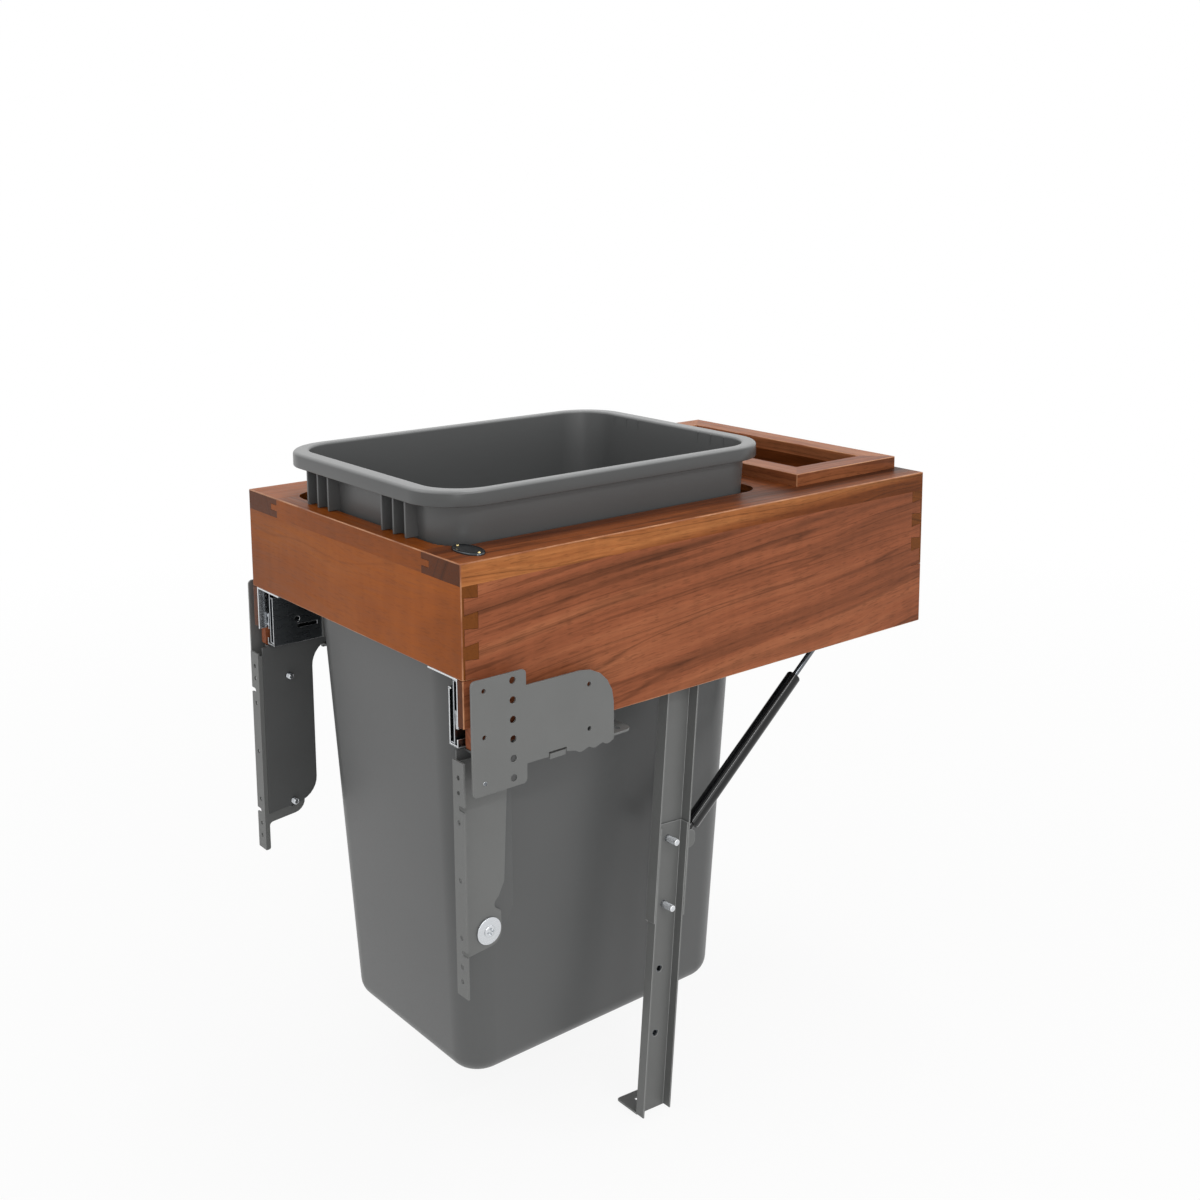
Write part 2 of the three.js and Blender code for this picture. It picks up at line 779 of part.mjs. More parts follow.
function makeMiddleMember() {
  const top = boardBottom - slideSteel - rollingGap;
  const bottom = cabinetMemberBottom + slideSteel + rollingGap;
  const outer = middleWebX + slideSteel / 2;
  const inner = middleWebX - slideSteel / 2;
  return sectionXZ(
    outline([
      [inner, bottom + slideSteel],
      [inner - slideLip, bottom + slideSteel],
      [inner - slideLip, bottom],
      [outer, bottom],
      [outer, top - slideSteel],
      [outer + slideLip, top - slideSteel],
      [outer + slideLip, top],
      [inner, top],
    ]),
    cabinetMemberSetback + rollingGap,
    middleMemberLength,
  );
}

function makeCabinetMember() {
  const top = boardBottom - cabinetMemberTop;
  const bottom = cabinetMemberBottom;
  const outer = -skirtThickness - slideSteel - rollingGap * 2;
  const channel = sectionXZ(
    outline([
      [slideInner, bottom],
      [outer, bottom],
      [outer, bottom + cabinetLip],
      [outer - slideSteel, bottom + cabinetLip],
      [outer - slideSteel, bottom + slideSteel],
      [slideInner + slideSteel, bottom + slideSteel],
      [slideInner + slideSteel, top - slideSteel],
      [slideInner + slideLip, top - slideSteel],
      [slideInner + slideLip, top],
      [slideInner, top],
    ]),
    cabinetMemberSetback,
    cabinetMemberLength,
  );
  const holeY = cabinetMemberSetback + slideHoleSetback;
  const holeZ = bottom + slideHoleRise;
  const slotTop = holeZ - slideSlotDrop;
  const hole = barX(slideInner - 1, slideInner + slideSteel + 1, holeY, holeZ, slideHoleRadius);
  const slot = block(
    slideInner - 1,
    slideInner + slideSteel + 1,
    holeY,
    holeY + slideSlotLength,
    slotTop - slideSlotHeight,
    slotTop,
  );
  return cut(channel, hole, slot);
}

// The cage of balls that runs between the middle member and the drawer member
function makeBallCage() {
  const outer = -skirtThickness - slideSteel - fitGap;
  const inner = middleWebX + slideSteel / 2;
  const top = boardBottom - cageDrop;
  const front = cabinetMemberSetback + rollingGap;
  return block(inner, outer, front, front + cageLength, top - cageHeight, top);
}

addPair('slide_drawer_member', makeDrawerMember(), finishes.zinc);
addPair('slide_middle_member', makeMiddleMember(), finishes.zinc);
addPair('slide_cabinet_member', makeCabinetMember(), finishes.zinc);
addPair('slide_ball_cage', makeBallCage(), finishes.zinc);

// The cabinet brackets: an upright plate, a flange under the slide and a lip on its inner face
function makeCabinetBracket() {
  const outside = bracketStandoff + bracketSteel;
  const plateBottom = -bracketTop - bracketHeight;
  const rearTop = -bracketTop - bracketStep;
  const rearBottom = rearTop - bracketTail;
  const tailBottom = rearBottom + bracketTailRise;
  const scallop = (bracketLength - bracketFlangeStart) / scallopCount;
  const lowerEdge = [];
  for (let k = 0; k < scallopCount; k += 1) {
    const start = bracketFlangeStart + k * scallop;
    lowerEdge.push(
      [start + scallopFootRadius, rearBottom, scallopFootRadius],
      [start + scallop / 2, rearBottom - scallopDepth, scallopRadius],
    );
  }
  const plate = outline([
    [0, -bracketTop, bracketEdgeRadius],
    [0, plateBottom, bracketEdgeRadius],
    [bracketFrontLength, plateBottom, bracketEdgeRadius],
    [bracketFrontLength, tailBottom],
    [bracketTabStart - bracketNotchGap, tailBottom],
    [bracketTabStart - bracketNotchGap, tailBottom + bracketNotchRise],
    [bracketTabEnd + bracketNotchGap, tailBottom + bracketNotchRise],
    [bracketTabEnd + bracketNotchGap, tailBottom],
    ...lowerEdge,
    [bracketLength, rearBottom, scallopFootRadius],
    [bracketLength, rearTop, bracketCornerRadius],
    [bracketFrontLength, rearTop],
    [bracketFrontLength, -bracketTop, bracketEdgeRadius],
  ]);
  const smallHoles = [
    [bracketFrontHole, -bracketTop - bracketEdgeHole],
    [bracketFrontHole, -bracketTop - bracketHeight / 2],
    [bracketFrontHole, plateBottom + bracketEdgeHole],
    [bracketLength - bracketRearHole, rearTop - bracketRearHoleDrop],
    [bracketLength - bracketRearHole, rearTop - bracketRearHoleDrop - bracketRearHolePitch],
  ];
  for (const [y, z] of smallHoles) plate.holes.push(roundHole(y, z, bracketSmallHole));
  for (let k = 0; k < bracketColumnHoles; k += 1) {
    const z = -bracketTop - bracketColumnDrop - k * bracketColumnPitch;
    plate.holes.push(roundHole(bracketFrontLength - bracketColumnInset, z, bracketLargeHole));
  }

  const flangeZ = cabinetMemberBottom - bracketFlangeDrop;
  const lipX = slideInner - bracketSteel;
  const intoPlate = bracketStandoff + bracketSteel / 2;
  const lipEnd = bracketFlangeEnd - loopCornerInner;
  const lipTop = boardBottom - cabinetMemberTop - bracketLipTop;
  const flange = outline([
    [lipX, bracketFlangeStart],
    [bracketStandoff - bracketTabRoot, bracketFlangeStart],
    [bracketStandoff - bracketTabRoot, bracketTabStart],
    [outside, bracketTabStart],
    [outside, bracketTabEnd],
    [intoPlate, bracketTabEnd],
    [intoPlate, bracketLength - scallopRadius],
    [bracketStandoff, bracketFlangeEnd, loopCornerOuter],
    [lipX, bracketFlangeEnd, loopCornerInner],
  ]);
  flange.holes.push(
    slotHole(-loopMiddle, bracketFlangeEnd - loopSetback, loopRadius, loopLength, 'u'),
  );
  const lip = outline([
    [bracketFlangeStart, flangeZ],
    [lipEnd, flangeZ],
    [lipEnd, lipTop],
    [bracketLipStart, lipTop],
    [bracketLipStart, cabinetMemberBottom],
    [bracketFlangeStart, cabinetMemberBottom],
  ]);
  return joined(
    plateYZ(plate, bracketStandoff, outside - bracketStandoff),
    plateXY(flange, flangeZ, bracketSteel),
    plateYZ(lip, lipX, bracketSteel),
    block(
      bracketStandoff - bracketSteel,
      outside,
      bracketTabStart,
      bracketTabEnd,
      flangeZ - bracketTabDrop,
      flangeZ + bracketSteel,
    ),
  );
}
addPair('cabinet_bracket', makeCabinetBracket(), finishes.greySteel);

// The screw that shows in each bracket's lowest front hole
function makeBracketScrew() {
  const z = -bracketTop - bracketHeight + bracketEdgeHole;
  const head = bracketStandoff - bracketScrewHead;
  const shank = bracketSmallHole - fitGap;
  return joined(
    barX(head, bracketStandoff, bracketFrontHole, z, bracketSmallHole * 2),
    barX(head, bracketStandoff + bracketSteel, bracketFrontHole, z, shank),
  );
}
addPair('bracket_screw', makeBracketScrew(), finishes.zinc);

// The legs, drawn in the leaning leg's own frame: z runs down from the pivot, y across the leg
const legWebOuter = slideInner - fitGap;
const legWebInner = legWebOuter - legSteel;
const legHoleDrops = Array.from({ length: legHoleCount }, (_, k) => legFirstHole + k * legHolePitch);

// A channel with its web at webFace and its flanges turned outboard, from top down to bottom.
function makeChannel(webFace, width, flange, top, bottom) {
  const half = width / 2;
  const profile = outline([
    [webFace, -half],
    [webFace + flange, -half],
    [webFace + flange, legSteel - half],
    [webFace + legSteel, legSteel - half],
    [webFace + legSteel, half - legSteel],
    [webFace + flange, half - legSteel],
    [webFace + flange, half],
    [webFace, half],
  ]);
  return plateXY(profile, bottom, top - bottom);
}

function webHoles(drops, radius) {
  return drops.map((drop) => barX(legWebInner - 1, legWebOuter + legSteel * 3, 0, -drop, radius));
}

function makeLegUpper() {
  const half = legWidth / 2;
  const web = outline([
    [-half, -legUpperLength + legEndChamfer],
    [-half + legEndChamfer, -legUpperLength],
    [half - legEndChamfer, -legUpperLength],
    [half, -legUpperLength + legEndChamfer],
    [half, -legFlangeTop],
    [legTongueWidth / 2, -legFlangeTop + half - legTongueWidth / 2],
    [legTongueWidth / 2, legTongue, 10],
    [-legTongueWidth / 2, legTongue, 10],
    [-legTongueWidth / 2, -legFlangeTop + half - legTongueWidth / 2],
    [-half, -legFlangeTop],
  ]);
  const ear = outline([
    [half - 1, -strutLowerDrop - earRadius - 4],
    [strutLowerSetback + earRadius, -strutLowerDrop - earRadius, earRadius - 1],
    [strutLowerSetback + earRadius, -strutLowerDrop + earRadius, earRadius - 1],
    [half - 1, -strutLowerDrop + earRadius + 4],
  ]);
  const flangeBottom = -legUpperLength + legEndChamfer;
  const body = joined(
    plateYZ(web, legWebInner, legSteel),
    plateYZ(ear, legWebInner, legSteel),
    makeChannel(legWebInner, legWidth, legFlange, -legFlangeTop, flangeBottom),
  );
  const pivotHole = barX(legWebInner - 1, legWebOuter + 1, 0, 0, pivotBoltRadius + fitGap, 20);
  const studHoles = webHoles(legHoleDrops.slice(0, legStudCount), legStudRadius + fitGap);
  return cut(body, pivotHole, ...studHoles);
}

// The lower channel slides inside the upper one and ends in a foot tab that is square to it.
const legLowerWidth = legWidth - 2 * (legSteel + fitGap);
const legReach = frameHeight - legPivotDrop; // pivot above the floor
const footCorner = (legLowerWidth / 2) * Math.sin(radians(legLean));
const legLength = (legReach - footCorner) / Math.cos(radians(legLean));

function makeLegLower() {
  const webFace = legWebOuter + fitGap;
  const half = legLowerWidth / 2;
  const foot = outline([
    [webFace - footTabLength, -half, 4],
    [webFace + legSteel, -half],
    [webFace + legSteel, half],
    [webFace - footTabLength, half, 4],
  ]);
  foot.holes.push(roundHole(webFace - footTabLength * 0.6, 0, footHoleRadius));
  const body = joined(
    makeChannel(webFace, legLowerWidth, legLowerFlange, -legLowerTop, -legLength + legSteel / 2),
    plateXY(foot, -legLength, legSteel),
  );
  return cut(body, ...webHoles(legHoleDrops, legStudRadius + fitGap));
}

// A headed stud through both webs
function makeLegStud(drop) {
  const headFace = legWebInner - fitGap;
  const tip = legWebOuter + fitGap + legSteel + legStudLength;
  return joined(
    barX(headFace - legStudHead, headFace, 0, -drop, legStudHeadRadius, 6),
    barX(headFace - 1, tip, 0, -drop, legStudRadius),
  );
}

// A domed rivet on the inboard face of the web
function makeLegRivet() {
  const base = 0.6;
  const profile = [new THREE.Vector2(0, 0), new THREE.Vector2(rivetRadius, 0)];
  for (let step = 0; step <= 4; step += 1) {
    const angle = (step / 4) * (Math.PI / 2);
    const height = base + (rivetHeight - base) * Math.sin(angle);
    profile.push(new THREE.Vector2(rivetRadius * Math.cos(angle), height));
  }
  profile.at(-1).x = 0;
  const dome = new THREE.LatheGeometry(profile, 14);
  return dome.rotateZ(Math.PI / 2).translate(legWebInner - fitGap, -rivetSetback, -rivetDrop);
}

function makePivotBolt() {
  const headFace = legWebInner - fitGap;
  return joined(
    barX(headFace, slideInner, legPivotSetback, -legPivotDrop, pivotBoltRadius, 20),
    barX(headFace - pivotHead, headFace, legPivotSetback, -legPivotDrop, pivotHeadRadius, 6),
  );
}

addPair('leg_upper', makeLegUpper(), finishes.greySteel, 'leg');
addPair('leg_lower', makeLegLower(), finishes.greySteel, 'leg');
addPair('leg_stud_upper', makeLegStud(legHoleDrops[0]), finishes.zinc, 'leg');
addPair('leg_stud_lower', makeLegStud(legHoleDrops[1]), finishes.zinc, 'leg');
addPair('leg_rivet', makeLegRivet(), finishes.greySteel, 'leg');
addPair('leg_pivot_bolt', makePivotBolt(), finishes.zinc);

// The gas struts: a tube on the leg's ball stud, a rod on the cabinet member's
const lean = new THREE.Matrix4().makeRotationX(-radians(legLean));
const lowerBall = new THREE.Vector3(0, strutLowerSetback, -strutLowerDrop)
  .applyMatrix4(lean)
  .add(new THREE.Vector3(0, legPivotSetback, -legPivotDrop));
const upperBall = new THREE.Vector3(0, strutUpperSetback, -strutUpperDrop);
const strutRun = upperBall.clone().sub(lowerBall);
const strutLength = strutRun.length();
for (const side of sides) {
  side.strut = new THREE.Group();
  side.strut.position.set(-side.sign * strutInset, lowerBall.y, lowerBall.z);
  side.strut.rotation.x = -Math.atan2(strutRun.y, strutRun.z);
  side.group.add(side.strut);
}

function lathed(profile, segments) {
  return new THREE.LatheGeometry(profile.map(([r, z]) => new THREE.Vector2(r, z)), segments)
    .rotateX(Math.PI / 2);
}

// Hollows a ball socket's seat out of a strut's end; its mouth opens outboard, to the stud.
function seated(strutEnd, centre, play) {
  const ball = new THREE.SphereGeometry(strutBallRadius + play, 12, 8).translate(0, 0, centre);
  const mouth = barX(0, strutSocketWidth, 0, centre, ballStudRadius + play);
  return cut(strutEnd, ball, mouth);
}

function makeSocket(centre) {
  return barX(-strutSocketWidth / 2, strutSocketWidth / 2, 0, centre, strutSocketRadius, 20);
}

function makeStrutTube() {
  const end = strutNeck + strutTubeLength;
  const bore = strutTubeRadius - strutTubeWall;
  const mouth = strutRodRadius + fitGap;
  const tube = lathed(
    [
      [0, strutSocketRadius - 1.5],
      [strutNeckRadius, strutSocketRadius - 1.5],
      [strutNeckRadius, strutNeck],
      [strutTubeRadius - 1, strutNeck],
      [strutTubeRadius, strutNeck + 1.5],
      [strutTubeRadius, end - 1.5],
      [strutTubeRadius - 1, end],
      [mouth, end],
      [mouth, end - strutTubeCap],
      [bore, end - strutTubeCap],
      [bore, strutNeck + strutTubeCap],
      [0, strutNeck + strutTubeCap],
    ],
    20,
  );
  return seated(joined(tube, makeSocket(0)), 0, fitGap);
}

function makeStrutRod() {
  const pistonTop = strutNeck + strutTubeLength - strutPistonInside;
  const rod = lathed(
    [
      [0, pistonTop - strutPistonLength],
      [strutTubeRadius - strutTubeWall - fitGap, pistonTop - strutPistonLength],
      [strutTubeRadius - strutTubeWall - fitGap, pistonTop],
      [strutRodRadius, pistonTop],
      [strutRodRadius, strutLength - strutNeck],
      [strutNeckRadius, strutLength - strutNeck],
      [strutNeckRadius, strutLength - strutSocketRadius + 1.5],
      [0, strutLength - strutSocketRadius + 1.5],
    ],
    20,
  );
  return seated(joined(rod, makeSocket(strutLength)), strutLength, socketPlay);
}

// A ball stud that stands inboard on a face, with its ball in the strut's plane
function makeBallStud(face) {
  return joined(
    barX(face - ballStudFlange, face, 0, 0, ballStudFlangeRadius, 6),
    barX(-strutInset, face - 1, 0, 0, ballStudRadius),
    new THREE.SphereGeometry(strutBallRadius, 12, 8).translate(-strutInset, 0, 0),
  );
}

for (const side of sides) {
  const turned = (geometry) => (side.sign > 0 ? welded(geometry) : mirrored(geometry, 'x'));
  addMesh(side.strut, `strut_tube_${side.name}`, turned(makeStrutTube()), finishes.blackEnamel);
  addMesh(side.strut, `strut_rod_${side.name}`, turned(makeStrutRod()), finishes.rodSteel);
}
const lowerStud = makeBallStud(legWebInner - fitGap);
addPair(
  'ball_stud_lower',
  lowerStud.translate(0, strutLowerSetback, -strutLowerDrop),
  finishes.zinc,
  'leg',
);
addPair('ball_stud_upper', makeBallStud(slideInner).translate(0, upperBall.y, upperBall.z), finishes.zinc);

// The door brackets: a web plate under each side board and a slotted angle clamped to it
const clampDrops = [clampUpperDrop, clampUpperDrop + clampPitch];
const angleInner = doorAngleOutside - doorAngleWidth; // inboard face of the angle's side leg
const plateOuter = angleInner - fitGap;
const doorPlateTop = skirtBottom;

function makeDoorPlate() {
  const bottom = doorPlateTop - doorPlateHeight;
  const sweep = outline(
    [
      [fitGap, doorPlateTop],
      [fitGap, bottom],
      [doorPlateLength, bottom + doorPlateSlope, doorPlateCorner],
      [doorPlateLength, doorPlateTop - doorPlateNeck, doorPlateSweep],
      [doorPlateSweepLength, doorPlateTop - doorSteel],
      [doorPlateSweepLength, doorPlateTop],
    ],
    7,
  );
  for (const drop of clampDrops) sweep.holes.push(roundHole(clampSetback, -drop, clampRadius + fitGap));
  const flange = rectangle(plateOuter - doorSteel, -1, cabinetMemberSetback, doorPlateSweepLength, 3);
  for (const y of [cabinetMemberSetback + doorFlangeHole, doorPlateSweepLength - doorFlangeHole]) {
    flange.holes.push(roundHole(-skirtThickness / 2, y, doorFlangeHoleRadius));
  }
  return joined(
    plateYZ(sweep, plateOuter - doorSteel, doorSteel),
    plateXY(flange, doorPlateTop - doorSteel, doorSteel),
  );
}

function makeDoorAngle() {
  const front = -doorAngleProud;
  const top = -doorAngleDrop;
  const bottom = top - doorAngleHeight;
  const outer = angleInner + doorAngleWidth;
  const frontLeg = rectangle(angleInner, outer, bottom, top);
  const middle = (angleInner + outer) / 2;
  for (const end of [1, -1]) {
    const edge = end > 0 ? top - doorEdgeHoleInset : bottom + doorEdgeHoleInset;
    for (let k = 0; k < doorHolesInGroup; k += 1) {
      if (k === doorNotchPlace) continue;
      frontLeg.holes.push(roundHole(middle, edge - end * k * doorHolePitch, doorHoleRadius));
    }
  }
  frontLeg.holes.push(roundHole(middle, (top + bottom) / 2, doorHoleRadius));
  const notches = [1, -1].map((end) => {
    const edge = end > 0 ? top - doorEdgeHoleInset : bottom + doorEdgeHoleInset;
    const notchZ = edge - end * doorNotchPlace * doorHolePitch;
    const notch = slotHole(outer, notchZ, doorHoleRadius, doorAngleWidth, 'u');
    return sectionXZ(new THREE.Shape(notch.getPoints(6)), front - 1, doorSteel + 2);
  });

  const step = -clampUpperDrop - clampPitch + doorStepRise;
  const sideTop = top - doorLegSetback;
  const rear = front + doorLegDepth;
  const sideLeg = outline([
    [front, sideTop],
    [front, bottom],
    [doorFrontRun, bottom, 2],
    [doorFrontRun, step - doorHookFoot - 4, 4],
    [clampSetback + doorHookNose + 1, step - doorHookFoot, doorHookFootRadius],
    [clampSetback + doorHookNose, step - doorHookNoseDrop],
    [clampSetback + doorHookSetback, step - doorHookDrop, doorHookDrop],
    [rear - 2 * doorLegTaper, step + doorStepSlope],
    [rear - doorLegTaper, step + doorStepHeight],
    [rear, sideTop, 3],
  ]);
  for (const drop of clampDrops) {
    const half = clampRadius + fitGap;
    sideLeg.holes.push(slotHole(clampSetback, -drop, half, 2 * (half + clampTravel), 'v'));
  }
  return cut(
    joined(
      sectionXZ(frontLeg, front, doorSteel),
      plateYZ(sideLeg, angleInner, doorSteel),
    ),
    ...notches,
  );
}

// A washer-headed screw clamps the angle on the plate; its end stands inboard of the plate.
function makeClampScrew(drop, washerRadius) {
  const face = angleInner + doorSteel + fitGap;
  const washerTop = face + clampWasher;
  const tip = plateOuter - doorSteel - clampTail;
  return joined(
    barX(face, washerTop, clampSetback, -drop, washerRadius, 24),
    barX(face, washerTop + clampHead, clampSetback, -drop, clampHeadRadius, 16),
    barX(tip, washerTop, clampSetback, -drop, clampRadius),
  );
}

addPair('door_plate', makeDoorPlate(), finishes.greySteel);
addPair('door_angle', makeDoorAngle(), finishes.greySteel);
addPair('clamp_screw_upper', makeClampScrew(clampDrops[0], clampUpperWasherRadius), finishes.zinc);
addPair('clamp_screw_lower', makeClampScrew(clampDrops[1], clampWasherRadius), finishes.zinc);

export default unit;
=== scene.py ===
import json
import math

import bmesh
import bpy
from mathutils import Matrix, Vector


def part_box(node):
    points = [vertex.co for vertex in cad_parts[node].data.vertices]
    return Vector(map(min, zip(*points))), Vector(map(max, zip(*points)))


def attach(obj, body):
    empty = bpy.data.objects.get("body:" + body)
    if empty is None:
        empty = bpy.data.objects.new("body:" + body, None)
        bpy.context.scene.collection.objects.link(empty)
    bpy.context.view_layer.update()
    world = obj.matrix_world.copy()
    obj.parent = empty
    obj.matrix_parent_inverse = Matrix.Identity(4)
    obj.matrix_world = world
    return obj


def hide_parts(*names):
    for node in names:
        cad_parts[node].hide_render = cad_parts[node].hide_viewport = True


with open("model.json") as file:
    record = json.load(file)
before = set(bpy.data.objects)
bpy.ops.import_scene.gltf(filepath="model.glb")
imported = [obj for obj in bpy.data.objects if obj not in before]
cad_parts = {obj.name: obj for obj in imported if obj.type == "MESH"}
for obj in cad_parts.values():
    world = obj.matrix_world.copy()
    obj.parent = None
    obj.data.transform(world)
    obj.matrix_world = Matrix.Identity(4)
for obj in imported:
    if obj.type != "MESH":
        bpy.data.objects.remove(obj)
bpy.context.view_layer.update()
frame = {"nodes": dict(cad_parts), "record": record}
print("frame loaded with", len(frame["nodes"]), "nodes")

# The bin's drawing is in millimetres: x from the unit's middle, y back from the front face and z up
# from the top panel. Every other piece takes its place from its node.
mm = 0.001
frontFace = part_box("front_board")[0].y
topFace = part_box("top_rail_right")[1].z
bodyOf = {node: body for body, nodes in frame["record"]["behaviour"]["bodies"].items() for node in nodes}
sides = {"right": 1, "left": -1}
noiseSpan = (0.3, 0.7)      # nearly all of a noise lies between these
white = (1, 1, 1, 1)


def linear(code):
    # an sRGB hex colour as the linear one that a shader reads
    parts = [int(code[i:i + 2], 16) / 255 for i in (1, 3, 5)]
    return [p / 12.92 if p <= 0.04045 else ((p + 0.055) / 1.055) ** 2.4 for p in parts] + [1.0]


def addNode(tree, kind, inputs=None, **settings):
    # adds a node, sets what it is told and links the sockets that it is given
    node = tree.nodes.new(kind)
    for name, value in settings.items():
        setattr(node, name, value)
    for name, value in (inputs or {}).items():
        if isinstance(value, bpy.types.NodeSocket):
            tree.links.new(value, node.inputs[name])
        else:
            node.inputs[name].default_value = value
    return node


def addMath(tree, operation, *values):
    return addNode(tree, "ShaderNodeMath", dict(enumerate(values)), operation=operation).outputs[0]


def addRange(tree, value, span, result=(0, 1)):
    # turns a value's range into another
    return addNode(tree, "ShaderNodeMapRange", dict(enumerate((value, *span, *result)))).outputs[0]


def addMix(tree, amount, first, second):
    inputs = {0: amount, 6: first, 7: second}
    return addNode(tree, "ShaderNodeMix", inputs, data_type="RGBA").outputs[2]


def addNoise(tree, place, scale, detail):
    inputs = {"Vector": place, "Scale": scale, "Detail": detail}
    return addNode(tree, "ShaderNodeTexNoise", inputs).outputs["Fac"]


def startMaterial(name, **sockets):
    # a material with its shader, the constants on the shader's own sockets, and Object coordinates
    material = bpy.data.materials.new(name)
    material.use_nodes = True
    tree = material.node_tree
    shader = tree.nodes["Principled BSDF"]
    for socket, value in sockets.items():
        shader.inputs[socket.replace("_", " ")].default_value = value
    spot = addNode(tree, "ShaderNodeTexCoord").outputs["Object"]
    return material, tree, shader, spot


# Walnut, planed and sanded, then sprayed with a clear satin lacquer: the eye gets a brown ground
# with broad dark streaks and thin late-wood lines that follow the year rings, short open pores
# and a soft sheen. End grain drinks the lacquer and is darker.
walnutLook = {
    "warpAlong": 4.0,       # slow waves of the rings per metre of board
    "warpAcross": 6.0,
    "warpDetail": 1.5,
    "ringsAlong": 1.2,      # how fast a streak changes along the board, per metre
    "ringsAcross": 34.0,    # broad streaks per metre, some 30 mm apart
    "linesAlong": 2.2,
    "linesAcross": 135.0,   # thin late-wood lines some 7 mm apart
    "fibreAlong": 14.0,
    "fibreAcross": 430.0,   # fibres 2.3 mm apart; real ones are finer than a pixel
    "poresAlong": 75.0,     # pores 13 mm long
    "poresAcross": 760.0,   # and 1.3 mm wide; real ones are 0.3 mm, too fine to show
    "figureAlong": 62.0,    # bands of curl across the grain, some 16 mm apart
    "figureAcross": 16.0,
    "figure": 0.05,         # how strong the curl is
    "veinsAlong": 1.3,
    "veinsAcross": 58.0,    # crisp dark veins some 10 to 20 mm apart
    "veinWidth": 0.017,     # as a share of the noise's range; about a millimetre on the board
    "veinCore": 0.2,        # the share of that width that is fully dark
    "detail": {"rings": 4, "lines": 3, "veins": 1.5, "fibre": 3, "pores": 1, "figure": 2},
    "noiseRoughness": 0.6,
    "streaks": (0.37, 0.5, 0.63),       # where the rings' noise is dark, middle and light
    "lineRange": (0.55, 0.64),          # where the other noises start and finish to show
    "fibreRange": (0.32, 0.68),
    "poreRange": (0.56, 0.68),
    "figureRange": (0.35, 0.65),
    "endGrainDepth": (0.0008, 0.0005),  # in metres from a board's end: where it starts, where it is full
    "roughness": (0.34, 0.5),
    "poreStrength": 0.5,
    "poreDepth": 0.00012,
    "gloss": 0.12,
    "glossTint": "#ffdcb8",
    "coat": 0.04,
    "coatRoughness": 0.2,
}
grainTurn = {"x": (0, 0, 0), "y": (0, 0, -90)}


